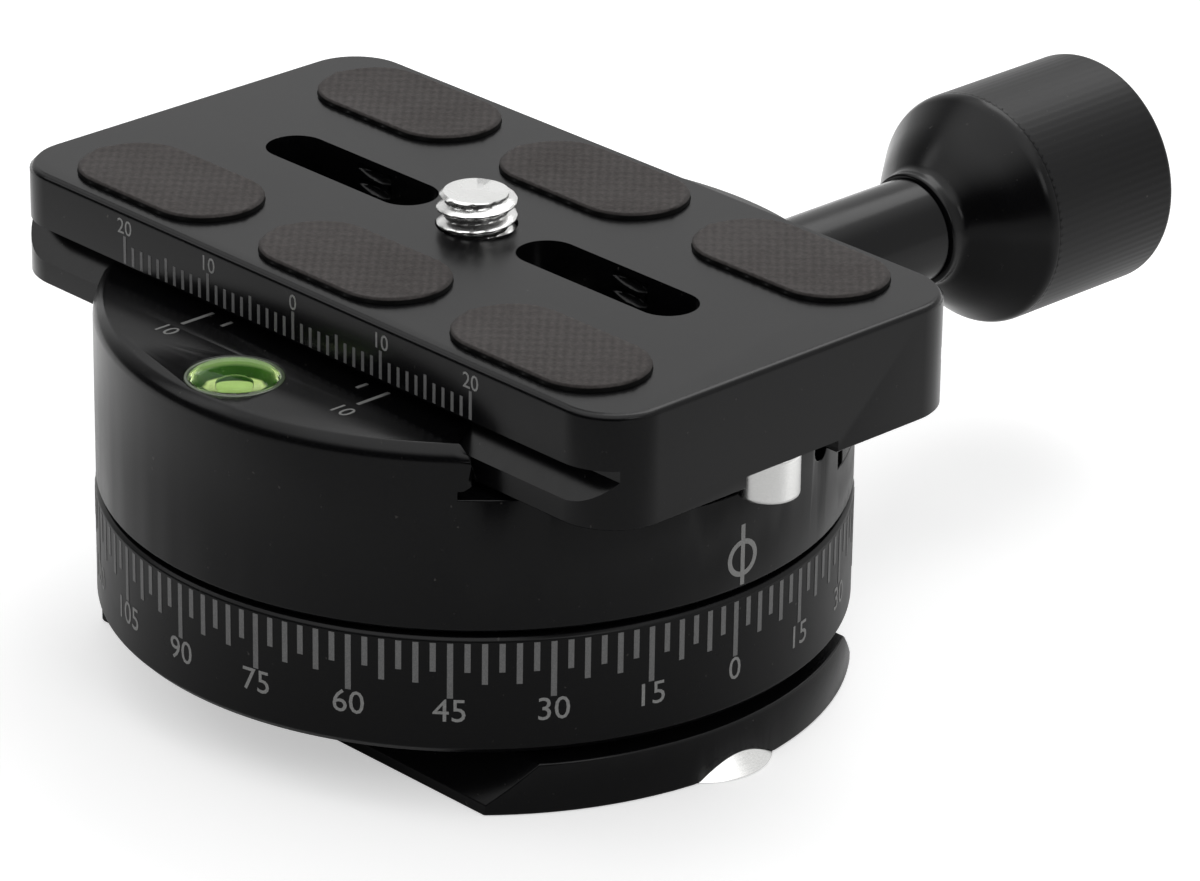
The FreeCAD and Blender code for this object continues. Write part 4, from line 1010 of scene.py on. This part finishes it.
piece("knob_end_cap", turned(cap_corners, 0.3, turns=120, **LAID_ON_AXIS),
      knob_black, "knob", ["knob_cap"])

# %% [markdown]
# ## Bubble level
# A bullseye level is a small tinted cup with a coloured liquid, a clear cap and one bubble. The
# cup's wall and floor carry painted light and shade: the floor glows pale, and the wall is dark
# low down and pale near its top. The bubble is a flat dome of air just under the cap: a surface
# with an index below one, because light meets it from inside the liquid.

# %% Level finishes
CUP_FLOOR = 27.9
CUP_RIM = 30.65


def clear(name, colour, index):
    """A clear material with a plain transmission weight and a slight change of tint."""
    made, tree, skin = material(name, {"Transmission Weight": 1.0, "IOR": index,
                                       "Roughness": 0.02})
    place = add(tree, "ShaderNodeTexCoord").outputs["Object"]
    darker = [0.94 * part for part in colour]
    feed(tree, skin.inputs["Base Color"],
         colour_ramp(tree, noise(tree, place, 600.0, 2.0), [(0.0, darker), (1.0, colour)]))
    return made


def cup_finish():
    """Green plastic with light and shade painted by height: a pale floor that glows, as painted
    light, a dark green wall, as painted shade, paler again near its top, as painted light, and a
    dark rim."""
    # The cup glows through its Emission Strength: painted light, though it is no lamp.
    made, tree, skin = material("level_cup_painted_light", {"Roughness": 0.25,
                                                      "Emission Strength": 0.30})
    rise = ramp(tree, coordinate(tree, "Z"), CUP_FLOOR * MM, CUP_RIM * MM)
    # tint is painted light and shade by height on the green plastic: a glowing floor, a shaded
    # wall, a lit top band.
    tint = colour_ramp(tree, rise, [
        (0.0, (0.95, 1.0, 0.66)), (0.04, (0.95, 1.0, 0.66)), (0.10, (0.02, 0.09, 0.01)),
        (0.50, (0.03, 0.12, 0.01)), (0.62, (0.30, 0.42, 0.22)), (0.90, (0.34, 0.46, 0.26)),
        (0.955, (0.05, 0.06, 0.04)), (1.0, (0.05, 0.07, 0.04))])
    for label in ("Base Color", "Emission Color"):
        feed(tree, skin.inputs[label], tint)
    return made


level_cup = cup_finish()
level_green = clear("level_green_liquid", (0.90, 1.0, 0.74), 1.10)
level_clear = clear("level_clear_cap", (0.95, 0.98, 0.90), 1.12)
level_air = clear("level_bubble_air", (0.80, 0.92, 0.70), 0.91)
print("level finishes:", [m.name for m in (level_cup, level_green, level_clear, level_air)])

# %% Level pieces
LEVEL = (0, -24.9, 0)
CUP_RADIUS = 3.85
CUP_BOTTOM = 27.6
CUP_TOP = 30.6
LIQUID_TOP = 29.93
LIQUID_RADIUS = 3.46

cup_wall = [(0, CUP_BOTTOM), (CUP_RADIUS, CUP_BOTTOM), (CUP_RADIUS, CUP_TOP), (3.55, CUP_TOP),
            (3.3, 27.95), (0, 27.95)]
piece("level_cup", turned(cup_wall, 0.1, centre=LEVEL), level_cup, "rotor",
      ["level_housing"])
fluid_wall = [(0, 27.97), (3.27, 27.97), (LIQUID_RADIUS, LIQUID_TOP), (0, LIQUID_TOP)]
piece("level_fluid", turned(fluid_wall, 0.06, centre=LEVEL), level_green, "rotor",
      ["level_liquid"])
cap_wall = [(0, LIQUID_TOP + 0.03), (LIQUID_RADIUS, LIQUID_TOP + 0.03), (3.52, CUP_TOP),
            (2.9, 30.86), (0, 30.98)]
piece("level_cap", turned(cap_wall, 0.25, centre=LEVEL), level_clear, "rotor",
      ["level_lens"])
bubble_turn = np.linspace(0, np.pi, 20)
bubble = surface(carried_round(1.45 * np.sin(bubble_turn), 29.56 - 0.33 * np.cos(bubble_turn),
                               centre=LEVEL, turns=48))
piece("level_bubble", bubble, level_air, "rotor")

# %% [markdown]
# ## Quick-release plate
# The plate is milled, with a dovetail below, two long slots, and tapped holes through the
# slots. Its front edge has a millimetre scale that counts from the middle both ways.

# %% Plate


def plate_chamfer(face):
    """The 45 degree faces at the plate's upper and lower rim."""
    height = face.calc_center_median().z / MM
    return 0.6 < abs(face.normal.z) < 0.8 and not 27.5 < height < 35.7


softened("quick_release_plate", "camera_plate", milled_black, "plate",
         chamfers=plate_chamfer)

# %% Millimetre scale
FRONT_FACE = -19.0
SLAB_BOTTOM = 31.8
marks = np.arange(-20, 21)
mark_length = np.where(marks % 10 == 0, 2.3, np.where(marks % 5 == 0, 2.0, 1.6))
lip_lines = bars(marks - 0.15, marks + 0.15, 0.1, 0.1 + mark_length)
lip_numbers = [figure(str(abs(k)), 1.3, float(k), 3.1) for k in range(-20, 21, 10)]
for name, flat, paint in (("plate_scale_lines", lip_lines, scale_paint),
                          ("plate_scale_numbers", together(*lip_numbers), label_paint)):
    piece(name, on_flat(flat, (0, FRONT_FACE, SLAB_BOTTOM), (1, 0, 0), (0, 0, 1), (0, -1, 0)),
          paint, "plate")

# %% [markdown]
# A quarter inch tap went down through each slot, which is narrower than the tap, so the thread
# is left only as crescents in the two long walls. Each crescent is a thread surface for the
# angles where the hole bulges past the slot, and where the crest would stand into the slot it
# is cut off at the slot's wall.

# %% Threads in the slots
SLOT_HALF = 2.5
TAP_RADIUS = 3.175
TAP_PITCH = 25.4 / 20
TAP_X = 14.7


def slot_crescent(x, side, low=27.2, high=35.68):
    """Thread between two angles of a tapped hole: y = max(r sin a, slot half width), closed
    behind by a wall a little deeper in the metal."""
    limit = math.asin(SLOT_HALF / TAP_RADIUS)
    angle = np.linspace(limit, math.pi - limit, 25)[None, :]
    height = np.linspace(low, high, 110)[:, None]
    radius = TAP_RADIUS - 0.62 * tooth(height / TAP_PITCH - side * angle / (2 * np.pi))
    front = np.stack([radius * np.cos(angle), np.maximum(radius * np.sin(angle), SLOT_HALF),
                      height + 0 * angle], -1)
    behind = np.stack([TAP_RADIUS * np.cos(angle) + 0 * height,
                       (TAP_RADIUS + 0.05) * np.sin(angle) + 0 * height, height + 0 * angle], -1)
    loop = np.concatenate([front, behind[::-1]])
    return surface(loop * [1, side, 1] + [x, 0, 0], wrap_rows=True, wrap_columns=False)


crescents = [slot_crescent(x, side) for x in (-TAP_X, TAP_X) for side in (-1, 1)]
piece("slot_threads", together(*crescents), milled_black, "plate")

# %% [markdown]
# ## Rubber pads
# Six pads stop the camera from turning. They are glued into shallow pockets and stand proud by
# less than a millimetre. Their top is finely ribbed and grey brown, darker down in the ribs and
# paler on their crests, and their wall is near black, as painted shade. For each place along
# the pad the section is a box whose half width follows the rounded outline, so the ends close
# by themselves.

# %% Rubber
# Near black for the pad's wall: painted shade.
WALL_PAINTED_SHADE = (0.0015, 0.0015, 0.0015, 1)
WALL_UP_TO = 36.58
TOP_FROM = 36.67
PATTERN_LOW = 36.765
PATTERN_HIGH = 36.825


def rubber_finish():
    """The tone goes by height: near black on the wall, as painted shade, and on the top dark brown
    down in the pattern and paler on its crests, both broken up by the grain."""
    made = finish("pad_rubber", ((0.034, 0.030, 0.029), (0.056, 0.050, 0.048)), (0.62, 0.74),
                  specular=0.14, grain=0.30, bump=0.6, depth=0.02)
    tree = made.node_tree
    skin = tree.nodes["Principled BSDF"]
    height = coordinate(tree, "Z")
    crest = ramp(tree, height, PATTERN_LOW * MM, PATTERN_HIGH * MM, 0.68, 1.15)
    top_by_pattern = add(tree, "ShaderNodeVectorMath",
               {0: upstream(skin, "Base Color"), "Scale": crest}, operation="SCALE").outputs[0]
    top = ramp(tree, height, WALL_UP_TO * MM, TOP_FROM * MM)
    # The wall below WALL_UP_TO is near black: painted shade.
    feed(tree, skin.inputs["Base Color"], choose(tree, top, WALL_PAINTED_SHADE, top_by_pattern, colour=True))
    return made


pad_rubber = rubber_finish()
print("rubber:", pad_rubber.name)

# %% Pads
PAD_TOP = 36.83
PAD_LENGTH = 17.7
PAD_WIDTH = 9.4
PAD_ROWS = {"front": -12.65, "back": 12.65}
PAD_COLUMNS = {"left": -21.9, "middle": 0.0, "right": 21.9}
RIB_PITCH = 0.99
CROSSING_PITCH = 1.7
TOOTH_PITCH = 2.1
RIM_ROUND = 0.22


def rubber_pad(x, y):
    """Closed sections across the pad: half width w(u) is the pad's own for the straight part and
    the root of R^2 - (distance past it)^2 in the round ends. The top falls by a fine rib pattern,
    two crossed waves of which one is stronger, and by a small round at the rim. Low on the wall
    small teeth stand out by a cosine of the place along it."""
    end = PAD_WIDTH / 2
    straight = PAD_LENGTH / 2 - end
    turn_in = np.linspace(0, np.pi / 2, 26)
    u = np.concatenate([-straight - end * np.cos(turn_in),
                        np.linspace(-straight, straight, 64)[1:-1],
                        straight + end * np.sin(turn_in)])
    half = np.sqrt(np.maximum(end ** 2 - np.maximum(np.abs(u) - straight, 0) ** 2, 0))
    across = np.sin(np.linspace(-np.pi / 2, np.pi / 2, 70))
    top_y = half[:, None] * across
    inside = half[:, None] * (1 - np.abs(across)) * np.clip(
        (PAD_LENGTH / 2 - np.abs(u))[:, None] / end * 2, 0.2, 1)
    ribs = np.cos(2 * np.pi / RIB_PITCH * (u[:, None] + top_y))
    crossing = np.cos(2 * np.pi / CROSSING_PITCH * (u[:, None] - top_y))
    pattern = 0.06 * (0.5 - 0.36 * ribs - 0.14 * crossing)
    rim = 0.16 * np.clip(1 - inside / RIM_ROUND, 0, 1) ** 2
    top_z = PAD_TOP - pattern - rim
    teeth = 0.12 * half / end * (0.5 + 0.5 * np.cos(2 * np.pi / TOOTH_PITCH * u)) ** 2
    wall = np.stack([half, half + teeth, half + teeth, half], -1)
    low = np.array([35.92, 36.32, 36.40, 36.52])
    loop_y = np.concatenate([-wall, top_y, wall[:, ::-1]], 1)
    loop_z = np.concatenate([low + 0 * wall, top_z, low[::-1] + 0 * wall], 1)
    loop = np.stack([u[:, None] + 0 * loop_y, loop_y, loop_z], -1)
    return surface(loop + [x, y, 0])


for row, y in PAD_ROWS.items():
    for column, x in PAD_COLUMNS.items():
        piece(f"{row}_{column}_pad", rubber_pad(x, y), pad_rubber, "plate",
              [f"pad_{row}_{column}"])

# %% [markdown]
# Two short socket screws hang under the plate's ends. When the plate slides in the open clamp,
# they meet the end of their pocket, so the camera can't drop out.

# %% Plate stops
PLATE_STOP_REACH = 32.5
plate_stops = screw_set(both_sides(PLATE_STOP_REACH, 0, 24.4), head=2.45, head_height=3.6,
                        shank=1.4, length=7.0, socket=2.5, socket_depth=1.2)
piece("plate_stops", plate_stops, bright_steel, "plate", ["plate_stop_screws"])

# %% [markdown]
# ## Camera screw
# The screw is captive: it can lift and turn but not fall out. Its slotted head is a softened
# piece of the CAD, cut off at the neck, and the thread above it is one surface again, 20 turns
# to the inch.

# %% Camera screw
CUT_HEIGHT = 34.0
THREAD_START = 34.3
THREAD_END = 39.0


def keep_head(shell):
    """Cuts the copy through the neck, drops what is above, and closes the cut."""
    everything = shell.verts[:] + shell.edges[:] + shell.faces[:]
    cut = bmesh.ops.bisect_plane(shell, geom=everything, plane_co=(0, 0, CUT_HEIGHT * MM),
                                 plane_no=(0, 0, 1), clear_outer=True)
    rim = [part for part in cut["geom_cut"] if isinstance(part, bmesh.types.BMEdge)]
    bmesh.ops.contextual_create(shell, geom=rim)


softened("camera_screw", "camera_screw_head", bright_steel, "camera_screw", 0.15,
         shape=keep_head)
camera_thread = screw_thread(TAP_RADIUS, 0.66, TAP_PITCH, THREAD_START, THREAD_END, lead=0.55,
                             turns=96)
piece("camera_screw_thread", camera_thread, bright_steel, "camera_screw")
piece("screw_washer", tube(3.26, 5.8, 30.55, 30.95, 0.1), natural_nylon, "screw_washer",
      ["camera_screw_washer"])
